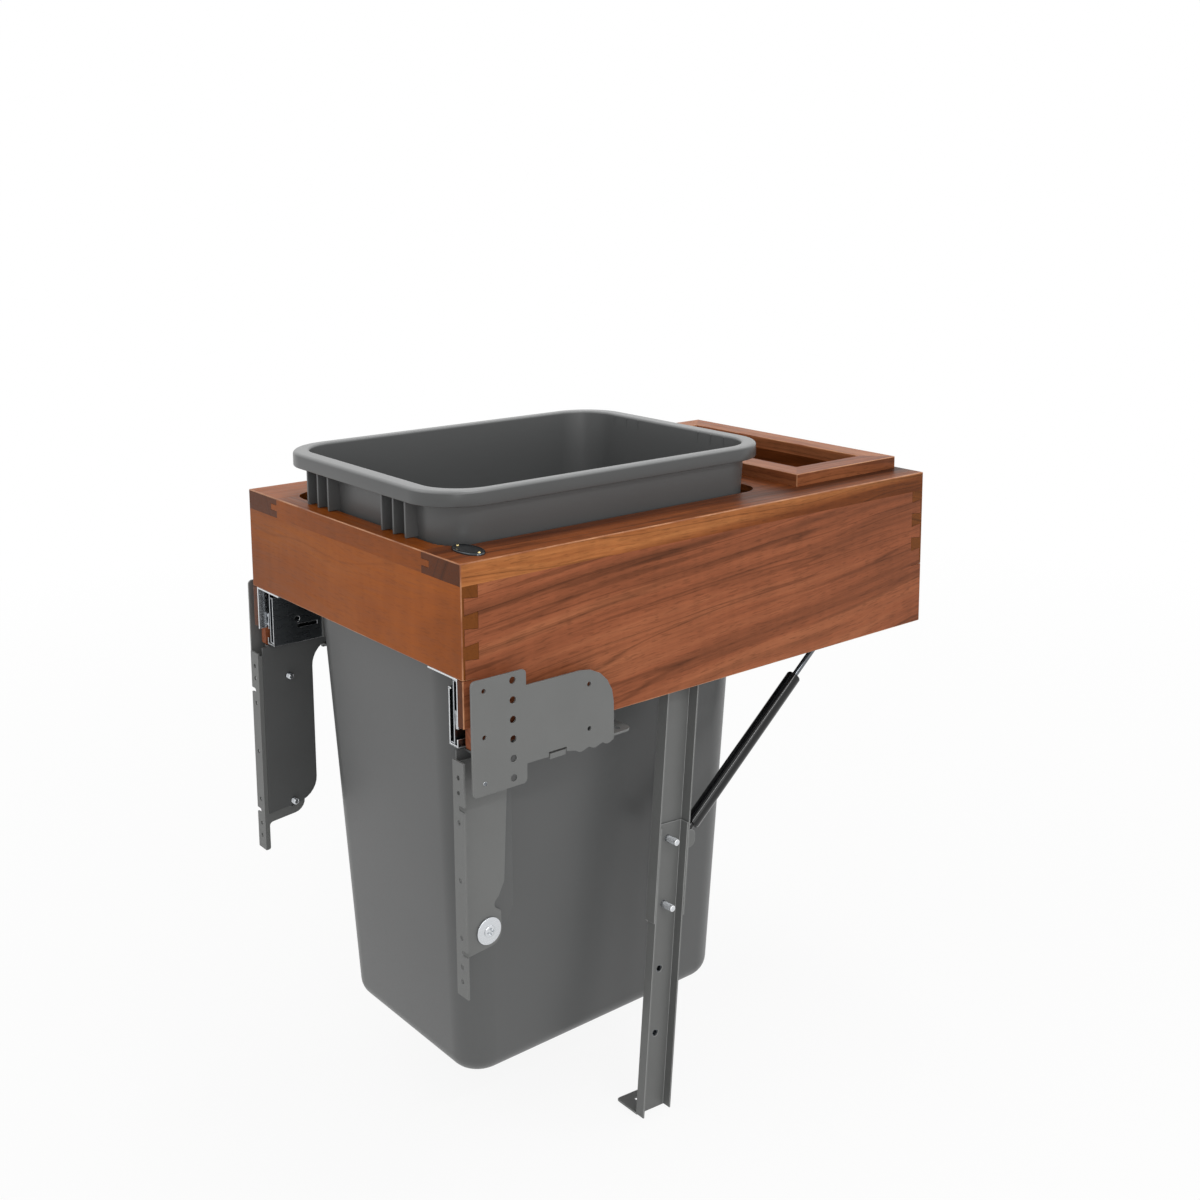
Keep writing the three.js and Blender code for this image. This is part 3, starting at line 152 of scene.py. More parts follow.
def makeWalnut(name, grain, shift, pith, dark, middle, light, tilt=0, warp=0.014, lines=0.36, fibre=0.1,
               pores=0.24, veins=0.32, fade=None, sapwood=None, endGrain=None):
    look = walnutLook
    material, tree, shader, spot = startMaterial(
        "lacqueredWalnut" + name, Coat_Weight=look["coat"], Coat_Roughness=look["coatRoughness"],
        Specular_IOR_Level=look["gloss"], Specular_Tint=linear(look["glossTint"]))
    turn = [math.radians(a) for a in grainTurn[grain]]
    turn[0] += math.radians(tilt)
    # the grain runs along x here, with the tree's heart beside the board
    turned = addNode(tree, "ShaderNodeMapping", {
        "Vector": spot, "Rotation": turn, "Location": (shift, pith[0], pith[1])})
    slow = addNode(tree, "ShaderNodeVectorMath", {
        0: turned.outputs[0], 1: (look["warpAlong"], look["warpAcross"], look["warpAcross"])},
        operation="MULTIPLY")
    wave = addNode(tree, "ShaderNodeTexNoise", {
        "Vector": slow.outputs[0], "Scale": 1, "Detail": look["warpDetail"]})
    bent = addNode(tree, "ShaderNodeVectorMath", {
        0: wave.outputs["Color"], 1: (0, warp, warp), 2: turned.outputs[0]}, operation="MULTIPLY_ADD")
    parts = addNode(tree, "ShaderNodeSeparateXYZ", {0: bent.outputs[0]})
    across = addNode(tree, "ShaderNodeCombineXYZ", {1: parts.outputs[1], 2: parts.outputs[2]})
    radius = addNode(tree, "ShaderNodeVectorMath", {0: across.outputs[0]}, operation="LENGTH")
    ringPlace = addNode(tree, "ShaderNodeCombineXYZ", {0: parts.outputs[0], 1: radius.outputs["Value"]})
    places = {"rings": ringPlace, "lines": ringPlace, "veins": ringPlace,
              "fibre": bent, "pores": bent, "figure": bent}
    noises = {}
    for kind, place in places.items():
        scale = (look[kind + "Along"], look[kind + "Across"], look[kind + "Across"])
        spread = addNode(tree, "ShaderNodeVectorMath", {0: place.outputs[0], 1: scale}, operation="MULTIPLY")
        noise = addNode(tree, "ShaderNodeTexNoise", {
            "Vector": spread.outputs[0], "Scale": 1, "Detail": look["detail"][kind],
            "Roughness": look["noiseRoughness"]})
        noises[kind] = noise.outputs["Fac"]
    ramp = addNode(tree, "ShaderNodeValToRGB", {0: noises["rings"]})
    stops = ramp.color_ramp.elements
    stops[0].position = look["streaks"][0]
    stops[0].color = linear(dark)
    stops[1].position = look["streaks"][2]
    stops[1].color = linear(light)
    stops.new(look["streaks"][1]).color = linear(middle)
    colour = ramp.outputs["Color"]
    shade = addRange(tree, noises["lines"], look["lineRange"], (1, 1 - lines))
    fibreShade = addRange(tree, noises["fibre"], look["fibreRange"], (1 - fibre, 1 + fibre))
    poreMask = addRange(tree, noises["pores"], look["poreRange"], (1, 1 - pores))
    curl = addRange(tree, noises["figure"], look["figureRange"], (1 - look["figure"], 1 + look["figure"]))
    # a vein runs wherever its noise passes through the middle of its range
    fromVein = addMath(tree, "ABSOLUTE", addMath(tree, "SUBTRACT", noises["veins"], 0.5))
    veinSpan = (look["veinCore"] * look["veinWidth"], look["veinWidth"])
    veinShade = addRange(tree, fromVein, veinSpan, (1 - veins, 1))
    for factor in (fibreShade, poreMask, curl, veinShade):
        shade = addMath(tree, "MULTIPLY", shade, factor)
    whole = addNode(tree, "ShaderNodeSeparateXYZ", {0: spot}).outputs
    if sapwood:     # the paler outer wood along one edge, which runs out towards the rear
        edge = addRange(tree, whole["XYZ".index(sapwood["axis"])], (sapwood["from"], sapwood["to"]))
        rise = addMath(tree, "MULTIPLY_ADD", whole[1], sapwood["rise"], sapwood["foot"])
        upper = addRange(tree, addMath(tree, "SUBTRACT", whole[2], rise), sapwood["soft"])
        amount = addMath(tree, "MULTIPLY", edge, upper)
        spread = addRange(tree, noises["lines"], sapwood["range"])
        paleWood = addMix(tree, spread, linear(sapwood["dark"]), linear(sapwood["light"]))
        colour = addMix(tree, amount, colour, paleWood)
    if endGrain:    # where the fibres end, at both ends of the board
        offset = addMath(tree, "SUBTRACT", whole["XYZ".index(endGrain["axis"])], endGrain["middle"])
        reach = addMath(tree, "ABSOLUTE", offset)
        atEnd = addRange(tree, reach, [endGrain["half"] - depth for depth in look["endGrainDepth"]])
        colour = addMix(tree, atEnd, colour, linear(endGrain["colour"]))
    if fade:        # painted shade: the board darkens towards one end
        end = addRange(tree, whole["XYZ".index(fade["axis"])], (fade["from"], fade["to"]), (1, fade["shade"]))
        shade = addMath(tree, "MULTIPLY", shade, end)
    toned = addNode(tree, "ShaderNodeVectorMath", {0: colour, 3: shade}, operation="SCALE")
    tree.links.new(toned.outputs[0], shader.inputs["Base Color"])
    sheen = addRange(tree, noises["fibre"], noiseSpan, look["roughness"])
    tree.links.new(sheen, shader.inputs["Roughness"])
    bump = addNode(tree, "ShaderNodeBump", {
        "Height": poreMask, "Strength": look["poreStrength"], "Distance": look["poreDepth"]})
    tree.links.new(bump.outputs[0], shader.inputs["Normal"])
    return material


# A painted highlight on the eased corners: the wood is drawn in paler patches there, under a glossier
# lacquer.
arrisHighlightLook = {
    "dark": "#8a4f2c", "light": "#bd8660", "range": (0.35, 0.65), "detail": 3,
    "patches": (30, 30, 60),        # per metre: some 33 mm long and broad, and 17 mm high
    "roughness": 0.38, "gloss": 0.3, "coat": 0.12, "coatRoughness": 0.2,
}


def makeArrisHighlight():
    look = arrisHighlightLook
    material, tree, shader, spot = startMaterial(
        "easedLacquerEdge", Coat_Weight=look["coat"], Coat_Roughness=look["coatRoughness"],
        Roughness=look["roughness"], Specular_IOR_Level=look["gloss"])
    drawn = addNode(tree, "ShaderNodeVectorMath", {0: spot, 1: look["patches"]}, operation="MULTIPLY")
    spread = addRange(tree, addNoise(tree, drawn.outputs[0], 1, look["detail"]), look["range"])
    tone = addMix(tree, spread, linear(look["dark"]), linear(look["light"]))
    tree.links.new(tone, shader.inputs["Base Color"])
    return material


# The browns of the boards, and how strongly each pattern shows in them
reddish = {"dark": "#6f3f29", "middle": "#8c5035", "light": "#9d5f40", "lines": 0.24}
orange = {"dark": "#814112", "middle": "#954d16", "light": "#a2581d", "lines": 0.12, "fibre": 0.06,
          "pores": 0.14, "veins": 0.12}
warm = {"dark": "#54290f", "middle": "#7f431f", "light": "#985a2c"}
deep = {"dark": "#3f1e0e", "middle": "#6b3719", "light": "#8c4d27"}
pale = {"dark": "#774229", "middle": "#915635", "light": "#a26743", "lines": 0.26, "veins": 0.24}
golden = {"axis": "X", "from": 0.1862, "to": 0.188, "rise": 0.05, "foot": 0.573, "soft": (-0.006, 0.004),
          "range": (0.38, 0.62), "dark": "#955830", "light": "#bb7a47"}
sideEnds = {"axis": "X", "middle": 0, "half": 0.189, "colour": "#6e3d18"}
frontEnds = {"axis": "Y", "middle": 0.002, "half": 0.286, "colour": "#552a12"}
woods = {
    "side_board_right": dict(reddish, grain="y", shift=0.31, tilt=-5, pith=(0.0, -0.28), endGrain=frontEnds),
    "side_board_left": dict(reddish, grain="y", shift=1.37, tilt=-4, pith=(0.0, -0.25), endGrain=frontEnds),
    "front_board": dict(orange, grain="x", shift=0.12, pith=(0.4, -0.52), warp=0.03, endGrain=sideEnds,
                        fade={"axis": "X", "from": 0.12, "to": -0.19, "shade": 0.77}),
    "back_board": dict(warm, grain="x", shift=2.4, pith=(-0.2, -0.3), endGrain=sideEnds),
    "top_rail_right": dict(deep, grain="y", shift=3.1, pith=(0.36, -0.47), warp=0.02,
                           fade={"axis": "Y", "from": -0.12, "to": 0.3, "shade": 0.76},
                           sapwood=golden, endGrain=frontEnds),
    "top_rail_left": dict(orange, grain="y", shift=4.7, pith=(-0.34, -0.49), warp=0.02, endGrain=frontEnds),
    "top_rail_front": dict(orange, grain="x", shift=5.2, pith=(0.44, -0.58), lines=0.2),
    "top_rail_middle": dict(deep, grain="x", shift=6.6, pith=(-0.05, -0.5)),
    "top_rail_rear": dict(deep, grain="x", shift=7.1, pith=(-0.2, -0.47)),
    "accessory_trim_front": dict(pale, grain="x", shift=8.2, pith=(-0.1, -0.5), warp=0.02),
    "accessory_trim_rear": dict(pale, grain="x", shift=9.3, pith=(-0.2, -0.52), warp=0.02),
    "accessory_trim_right": dict(pale, grain="y", shift=10.1, pith=(0.2, -0.5), warp=0.02),
    "accessory_trim_left": dict(pale, grain="y", shift=11.8, pith=(-0.1, -0.48), warp=0.02),
    "accessory_box_front": dict(warm, grain="x", shift=12.5, pith=(-0.06, -0.45)),
    "accessory_box_rear": dict(warm, grain="x", shift=13.5, pith=(-0.18, -0.45)),
    "accessory_box_right": dict(warm, grain="y", shift=14.2, pith=(0.18, -0.44)),
    "accessory_box_left": dict(warm, grain="y", shift=15.9, pith=(-0.08, -0.44)),
    "accessory_box_floor": dict(warm, grain="x", shift=16.4, pith=(-0.17, -0.4)),
}


def camel(node):
    first, *rest = node.split("_")
    return first + "".join(part.capitalize() for part in rest)


# Polypropylene, injection moulded in a grained tool: an even satin grey with a very fine texture.
# The rim's band is smoother, and darker by painted shade; its crown is pale with a painted highlight.
binLook = {
    # the band's tones are darker than the side's by painted shade, and the crown's tone is a painted
    # highlight
    "side": ("#505151", "#575858"), "band": ("#464747", "#4d4e4e"), "crown": "#7c7d7d",
    "crownFoot": (0.6302, 0.6324),      # heights above the floor of the cabinet, in metres
    "sideRoughness": (0.34, 0.41), "bandRoughness": (0.31, 0.33), "sideGrain": 0.25, "bandGrain": 0.06,
    "clouds": 7,            # slow changes of tone per metre
    "grain": 900,           # moulded grain 1.1 mm apart; the real one is finer than a pixel
    "grainDepth": 0.00015, "detail": 2, "refraction": 1.49,
}


def makeBinPlastic(name, low, high, rough, strength):
    look = binLook
    material, tree, shader, spot = startMaterial(name, IOR=look["refraction"])
    moulded = addMix(tree, addNoise(tree, spot, look["clouds"], look["detail"]), linear(low), linear(high))
    height = addNode(tree, "ShaderNodeSeparateXYZ", {0: spot}).outputs[2]
    # above the crown's foot the colour turns into the painted highlight
    tone = addMix(tree, addRange(tree, height, look["crownFoot"]), moulded, linear(look["crown"]))
    grain = addNoise(tree, spot, look["grain"], look["detail"])
    sheen = addRange(tree, grain, noiseSpan, rough)
    bump = addNode(tree, "ShaderNodeBump", {
        "Height": grain, "Strength": strength, "Distance": look["grainDepth"]})
    tree.links.new(tone, shader.inputs["Base Color"])
    tree.links.new(sheen, shader.inputs["Roughness"])
    tree.links.new(bump.outputs[0], shader.inputs["Normal"])
    return material


# Sheet steel with a baked powder coat: mid grey, with the fine orange peel of the coat.
coatLook = {
    "clouds": 24, "cloudDetail": 3,
    "peel": 1100,           # orange peel 0.9 mm apart
    "peelDetail": 1, "peelStrength": 0.35, "peelDepth": 0.0001, "roughness": (0.42, 0.56), "refraction": 1.5,
}


def makePowderCoat(name, low, high):
    look = coatLook
    material, tree, shader, spot = startMaterial(name, IOR=look["refraction"])
    tone = addMix(tree, addNoise(tree, spot, look["clouds"], look["cloudDetail"]), linear(low), linear(high))
    peel = addNoise(tree, spot, look["peel"], look["peelDetail"])
    sheen = addRange(tree, peel, noiseSpan, look["roughness"])
    bump = addNode(tree, "ShaderNodeBump", {
        "Height": peel, "Strength": look["peelStrength"], "Distance": look["peelDepth"]})
    tree.links.new(tone, shader.inputs["Base Color"])
    tree.links.new(sheen, shader.inputs["Roughness"])
    tree.links.new(bump.outputs[0], shader.inputs["Normal"])
    return material


# Metals: bare or plated, so the reflection carries the colour, with fine lines or spangle.
metalDetail = 3


def makeMetal(name, low, high, rough, stretch, scale):
    material, tree, shader, spot = startMaterial(name, Metallic=1.0)
    drawn = addNode(tree, "ShaderNodeVectorMath", {0: spot, 1: stretch}, operation="MULTIPLY")
    mottle = addNoise(tree, drawn.outputs[0], scale, metalDetail)
    tone = addMix(tree, mottle, linear(low), linear(high))
    sheen = addRange(tree, mottle, noiseSpan, rough)
    tree.links.new(tone, shader.inputs["Base Color"])
    tree.links.new(sheen, shader.inputs["Roughness"])
    return material


# Gloss black stove enamel on the gas spring's tube, with faint dust in it.
enamelLook = {"dark": "#09090a", "light": "#0e0e10", "dust": 120, "dustDetail": 2, "roughness": 0.1,
              "gloss": 0.25, "coat": 0.35, "coatRoughness": 0.05}


def makeBlackEnamel():
    look = enamelLook
    material, tree, shader, spot = startMaterial(
        "glossBlackEnamel", Coat_Weight=look["coat"], Coat_Roughness=look["coatRoughness"],
        Specular_IOR_Level=look["gloss"], Roughness=look["roughness"])
    dust = addNoise(tree, spot, look["dust"], look["dustDetail"])
    tone = addMix(tree, dust, linear(look["dark"]), linear(look["light"]))
    tree.links.new(tone, shader.inputs["Base Color"])
    return material


binPlastic = makeBinPlastic("mouldedPolypropylene", *binLook["side"], binLook["sideRoughness"],
                            binLook["sideGrain"])
# the rim's darker tones are painted shade
rimPlasticPaintedShade = makeBinPlastic("smoothPolypropyleneRim", *binLook["band"], binLook["bandRoughness"],
                            binLook["bandGrain"])
greyCoat = makePowderCoat("powderCoatedSteel", "#636463", "#6a6b6a")
darkCoat = makePowderCoat("darkPowderCoatedSteel", "#4e4f4f", "#555656")
# a paler coat for the broken edges: a painted highlight
coatEdgeHighlight = makePowderCoat("rubbedCoatEdge", "#8b8c8b", "#9a9b9a")
# two tones, the roughness, how the pattern is stretched, and how many spots it has per metre
zinc = makeMetal("brightZincPlate", "#c9ccd0", "#d6d9dc", (0.24, 0.28), (1, 0.15, 1), 700)
# paler zinc, a painted highlight on the broken edges; the cage's balls take it too
paleZincHighlight = makeMetal("zincCutEdge", "#e4e6e8", "#f4f5f6", (0.34, 0.4), (1, 1, 1), 300)
slideSteel = makeMetal("oiledSlideSteel", "#6b6f73", "#7d8185", (0.26, 0.32), (1, 0.15, 1), 700)
rodSteel = makeMetal("hardChromedRod", "#5d6165", "#777b80", (0.12, 0.2), (1, 1, 0.1), 500)
darkNickel = makeMetal("polishedDarkNickel", "#3b3e41", "#54585c", (0.14, 0.24), (0.2, 1, 1), 700)
brassPin = makeMetal("polishedBrass", "#bfa970", "#d9c894", (0.15, 0.25), (1, 1, 1), 400)
blackEnamel = makeBlackEnamel()
# the paler brown on the eased corners is a painted highlight
arris = makeArrisHighlight()
print("materials made")

# How meshes are cleaned and shaded: distances in metres, angles in degrees
meshCare = {"merge": 2e-6, "sliver": 1e-5, "weld": 1e-6, "flat": 0.6, "boardFlat": 2, "bevelFrom": 35,
            "sharp": 50, "turnedSharp": 40, "plateSharp": 60}


def mergedCopy(node, flat=meshCare["flat"]):
    # a CAD node's loose triangles as one closed mesh with flat faces
    source = frame["nodes"][node].data
    work = bmesh.new()
    points = [work.verts.new(v.co) for v in source.vertices]
    for face in source.polygons:
        work.faces.new([points[i] for i in face.vertices])
    bmesh.ops.remove_doubles(work, verts=work.verts, dist=meshCare["merge"])
    bmesh.ops.dissolve_degenerate(work, dist=meshCare["sliver"], edges=work.edges)
    bmesh.ops.dissolve_limit(work, angle_limit=math.radians(flat), verts=work.verts, edges=work.edges)
    return work


def toObject(name, work, *materials):
    mesh = bpy.data.meshes.new(name)
    work.to_mesh(mesh)
    work.free()
    mesh.shade_smooth()
    for material in materials:
        mesh.materials.append(material)
    piece = bpy.data.objects.new(name, mesh)
    bpy.context.scene.collection.objects.link(piece)
    return piece


def keepSharp(piece, kind="sharp"):
    piece.data.set_sharp_from_angle(angle=math.radians(meshCare[kind]))


def plainMesh(piece):
    # what the modifiers make, as a plain mesh
    bpy.context.view_layer.update()
    graph = bpy.context.evaluated_depsgraph_get()
    mesh = bpy.data.meshes.new_from_object(piece.evaluated_get(graph), preserve_all_data_layers=True,
                                           depsgraph=graph)
    piece.modifiers.clear()
    piece.data = mesh


def softenEdges(piece, width, segments=2, weighted=False):
    # rounds the edges; a second material, where there is one, goes on the rounded strips, and where it is
    # paler it is a painted highlight
    bevel = piece.modifiers.new("arris", "BEVEL")
    bevel.width = width * mm
    bevel.segments = segments
    bevel.limit_method = "WEIGHT" if weighted else "ANGLE"
    bevel.angle_limit = math.radians(meshCare["bevelFrom"])
    bevel.use_clamp_overlap = not weighted
    bevel.material = len(piece.data.materials) - 1
    plainMesh(piece)
    keepSharp(piece)
    normals = piece.modifiers.new("flatFaces", "WEIGHTED_NORMAL")
    normals.keep_sharp = True
    plainMesh(piece)


def dress(piece, slot, *nodes):
    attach(piece, bodyOf[nodes[0]])
    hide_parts(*nodes)


# The boards: their outer corners are eased by hand, their joints stay crisp.
boardEdges = {"eased": 0.9, "segments": 3, "near": 0.3}


def weighBoardEdges(work, planes):
    # an edge is eased where two of the outer planes meet in it
    layer = work.edges.layers.float.new("bevel_weight_edge")
    near = boardEdges["near"] * mm
    for edge in work.edges:
        if len(edge.link_faces) != 2 or edge.calc_face_angle(0) < math.radians(meshCare["bevelFrom"]):
            continue
        held = sum(all(abs(v.co[axis] - at) < near for v in edge.verts) for axis, at in planes)
        edge[layer] = 1.0 if held >= 2 and edge.is_convex else 0.0


def outerPlanes():
    outer = [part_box(node) for node in woods if not node.startswith("accessory")]
    found = [(axis, pick(box[end][axis] for box in outer))
             for axis in range(3) for end, pick in ((0, min), (1, max))]
    found.append((2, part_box("front_board")[0].z))
    return found


def trimPlanes():
    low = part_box("accessory_trim_left")[0]
    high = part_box("accessory_trim_right")[1]
    inner = [(0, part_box("accessory_trim_left")[1].x), (0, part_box("accessory_trim_right")[0].x),
             (1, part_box("accessory_trim_front")[1].y), (1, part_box("accessory_trim_rear")[0].y)]
    return [(0, low.x), (0, high.x), (1, low.y), (1, high.y), (2, high.z)] + inner


def makeBoards():
    frameEdges = outerPlanes()
    trimEdges = trimPlanes()
    for node, wood in woods.items():
        work = mergedCopy(node, meshCare["boardFlat"])
        weighBoardEdges(work, trimEdges if node.startswith("accessory_trim") else frameEdges)
        name = camel(node)
        # the eased corners get the painted highlight as their second material
        piece = toObject(name, work, makeWalnut(name[0].upper() + name[1:], **wood), arris)
        softenEdges(piece, boardEdges["eased"], boardEdges["segments"], weighted=True)
        dress(piece, "front_walnut" if node == "front_board" else "walnut", node)


makeBoards()
print("boards dressed")

# Bent and punched steel keeps its shape, and its cut edges are broken, as tumbling does.
# Each row has the finish, the edges' finish, the record's slot and the edges' width in millimetres. An edges'
# finish paler than the face is a painted highlight.
steelEdges = {
    "slide_drawer_member": (zinc, paleZincHighlight, "zinc", 0.35),
    "slide_middle_member": (slideSteel, zinc, "zinc", 0.35),
    "slide_cabinet_member": (slideSteel, paleZincHighlight, "zinc", 0.7),
    "bracket_screw": (rodSteel, zinc, "zinc", 0.3),
    "cabinet_bracket": (greyCoat, coatEdgeHighlight, "grey_steel", 0.35),
    "leg_upper": (greyCoat, coatEdgeHighlight, "grey_steel", 0.35),
    "leg_lower": (greyCoat, coatEdgeHighlight, "grey_steel", 0.35),
    "leg_rivet": (greyCoat, greyCoat, "grey_steel", 0.2),
    "leg_stud_upper": (zinc, paleZincHighlight, "zinc", 0.9),
    "leg_stud_lower": (zinc, paleZincHighlight, "zinc", 0.9),
    "leg_pivot_bolt": (zinc, paleZincHighlight, "zinc", 0.4),
    "ball_stud_lower": (zinc, paleZincHighlight, "zinc", 0.2),
    "ball_stud_upper": (zinc, paleZincHighlight, "zinc", 0.2),
    "strut_tube": (blackEnamel, blackEnamel, "black_enamel", 0.2),
    "strut_rod": (rodSteel, rodSteel, "rod_steel", 0.2),
    "door_plate": (darkCoat, greyCoat, "grey_steel", 0.35),
    "door_angle": (greyCoat, coatEdgeHighlight, "grey_steel", 0.35),
}
# On the right the two members that carry the balls end just behind the drawer's own member.
slideFront = {"setback": 1.0, "endDepth": 3.0,
              "moved": ("slide_middle_member_right", "slide_cabinet_member_right")}
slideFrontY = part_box("slide_drawer_member_right")[0].y + slideFront["setback"] * mm


def bringForward(work, node):
    # lengthens a slide member at its front end, so that its open profile shows
    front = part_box(node)[0].y
    for v in work.verts:
        if v.co.y < front + slideFront["endDepth"] * mm:
            v.co.y += slideFrontY - front


def makeSteel():
    for base, (material, edge, slot, width) in steelEdges.items():
        for side in sides:
            node = base + "_" + side
            work = mergedCopy(node)
            if node in slideFront["moved"]:
                bringForward(work, node)
            piece = toObject(camel(node), work, material, edge)
            softenEdges(piece, width)
            dress(piece, slot, node)


makeSteel()
print("steel dressed")


def closed(work):
    bmesh.ops.remove_doubles(work, verts=work.verts, dist=meshCare["weld"])
    bmesh.ops.recalc_face_normals(work, faces=work.faces)
    return work


def toFrame(work):
    # millimetres of the bin's drawing to metres of the frame
    place = Matrix.Translation((0, frontFace, topFace)) @ Matrix.Diagonal((mm, mm, mm, 1))
    bmesh.ops.transform(work, matrix=place, verts=work.verts)
    return closed(work)


def newTree(name, sizes, fromPoints=False):
    # a Geometry Nodes tree with named number inputs, and the sockets that give them
    tree = bpy.data.node_groups.new(name, "GeometryNodeTree")
    if fromPoints:
        tree.interface.new_socket("Geometry", in_out="INPUT", socket_type="NodeSocketGeometry")
    for size in sizes:
        tree.interface.new_socket(size, in_out="INPUT", socket_type="NodeSocketFloat")
    tree.interface.new_socket("Geometry", in_out="OUTPUT", socket_type="NodeSocketGeometry")
    return tree, addNode(tree, "NodeGroupInput").outputs


def addRow(tree, count, start, step, piece):
    # copies of a piece in a row
    line = addNode(tree, "GeometryNodeMeshLine", {"Count": count, "Start Location": start, "Offset": step})
    inputs = {"Points": line.outputs[0], "Instance": piece}
    return addNode(tree, "GeometryNodeInstanceOnPoints", inputs).outputs[0]


def endTree(tree, geometry, material):
    real = addNode(tree, "GeometryNodeRealizeInstances", {0: geometry})
    finish = addNode(tree, "GeometryNodeSetMaterial", {"Geometry": real.outputs[0], "Material": material})
    addNode(tree, "NodeGroupOutput", {0: finish.outputs[0]})
    return tree


def runTree(name, tree, sizes, points=()):
    # the tree's result as a plain mesh in an object of its own
    mesh = bpy.data.meshes.new(name)
    mesh.from_pydata([tuple(p) for p in points], [], [])
    piece = bpy.data.objects.new(name, mesh)
    bpy.context.scene.collection.objects.link(piece)
    modifier = piece.modifiers.new("repeat", "NODES")
    modifier.node_group = tree
    for item in tree.interface.items_tree:
        if item.in_out == "INPUT" and item.name in sizes:
            modifier[item.identifier] = float(sizes[item.name])
    plainMesh(piece)
    work = bmesh.new()
    work.from_mesh(piece.data)
    closed(work).to_mesh(piece.data)
    work.free()
    piece.data.shade_smooth()
    keepSharp(piece)
    return piece


# The bin: one drafted shell, with a turned-down rim that hangs on fins at both ends
binSizes = {
    "width": 294, "length": 389.5, "height": 563.5, "setback": 8.5, "wall": 2.8, "draft": 3,
    "rimTop": 47, "rimBand": 14, "rimRadius": 50, "sideOverhang": 9, "endOverhang": 13.4,
    "bodyRadius": 42, "footRadius": 30, "edgeRadius": 18, "leastRadius": 3,
    "lip": 0.7, "lipShare": 0.3, "roll": 3.2, "innerRoll": 2.0,
    "levels": (-400, -300, -200, -100, 0),      # heights of the rings between the foot and the rim
    "cornerSteps": 14, "turnSteps": 9,
    "finFirst": 48, "finSpacing": 19.5, "finsPerGroup": 3, "finThickness": 2.5, "finReach": 12.5,
    "finSink": 1,           # how far a fin goes into the wall and the rim
    "finGap": 0.3, "finEdge": 0.5,
}


def ringAt(halfX, halfY, radius, z):
    # a rectangle with round corners
    s = binSizes
    middleY = s["setback"] + s["length"] / 2
    steps = s["cornerSteps"]
    points = []
    for quarter, (signX, signY) in enumerate([(1, -1), (1, 1), (-1, 1), (-1, -1)]):
        for step in range(steps + 1):
            angle = (quarter - 1 + step / steps) * math.pi / 2
            points.append(Vector((signX * (halfX - radius) + radius * math.cos(angle),
                                  middleY + signY * (halfY - radius) + radius * math.sin(angle), z)))
    return points


def bodyRing(z, wall=0.0, inset=0.0):
    s = binSizes
    under = s["rimTop"] - s["rimBand"]
    drop = under - z
    share = min(max(drop / (under - s["rimTop"] + s["height"]), 0), 1)
    radius = s["bodyRadius"] + (s["footRadius"] - s["bodyRadius"]) * share
    shrink = drop * math.tan(math.radians(s["draft"])) + wall + inset
    return ringAt(s["width"] / 2 - s["sideOverhang"] - shrink, s["length"] / 2 - s["endOverhang"] - shrink,
                  max(radius - wall - inset, s["leastRadius"]), z)


def rimRing(inset, z):
    s = binSizes
    return ringAt(s["width"] / 2 - inset, s["length"] / 2 - inset, s["rimRadius"] - inset, z)


def binRings():
    # the rings of the body's outside, of the rim's outside and crown, and of the inside
    s = binSizes
    bottom = s["rimTop"] - s["height"]
    under = s["rimTop"] - s["rimBand"]
    flange = s["rimTop"] - s["wall"]
    quarter = [math.radians(90 * i / s["turnSteps"]) for i in range(s["turnSteps"] + 1)]
    turn = s["edgeRadius"]
    outerTurn = [bodyRing(bottom + turn * (1 - math.cos(a)), 0, turn * (1 - math.sin(a))) for a in quarter]
    turn = s["edgeRadius"] - s["wall"]
    innerTurn = [bodyRing(bottom + s["wall"] + turn * (1 - math.cos(a)), s["wall"], turn * (1 - math.sin(a)))
                 for a in reversed(quarter)]
    lip = s["lip"]
    start = lip * s["lipShare"]
    rimOuter = [rimRing(lip, under), rimRing(start, under + start), rimRing(0, under + lip)]
    roll = s["roll"]
    crown = [rimRing(roll * (1 - math.cos(a)), s["rimTop"] - roll + roll * math.sin(a)) for a in quarter]
    roll = s["innerRoll"]
    inward = [bodyRing(s["rimTop"] - roll * (1 - math.cos(a)), s["wall"], -roll * (1 - math.sin(a)))
              for a in quarter]
    underRim = [bodyRing(flange), rimRing(s["wall"], flange), rimRing(s["wall"], under + lip),
                rimRing(s["wall"] - lip, under)]
    outside = outerTurn + [bodyRing(z) for z in (*s["levels"], under)] + underRim
    inside = inward + [bodyRing(z, s["wall"]) for z in reversed(s["levels"])] + innerTurn
    return outside, rimOuter + crown, inside


def loft(rings):
    work = bmesh.new()
    rows = [[work.verts.new(p) for p in ring] for ring in rings]
    count = len(rows[0])
    for low, high in zip(rows, rows[1:]):
        for j in range(count):
            k = (j + 1) % count
            work.faces.new([low[j], low[k], high[k], high[j]])
    work.faces.new(rows[0])
    work.faces.new(rows[-1])
    return work


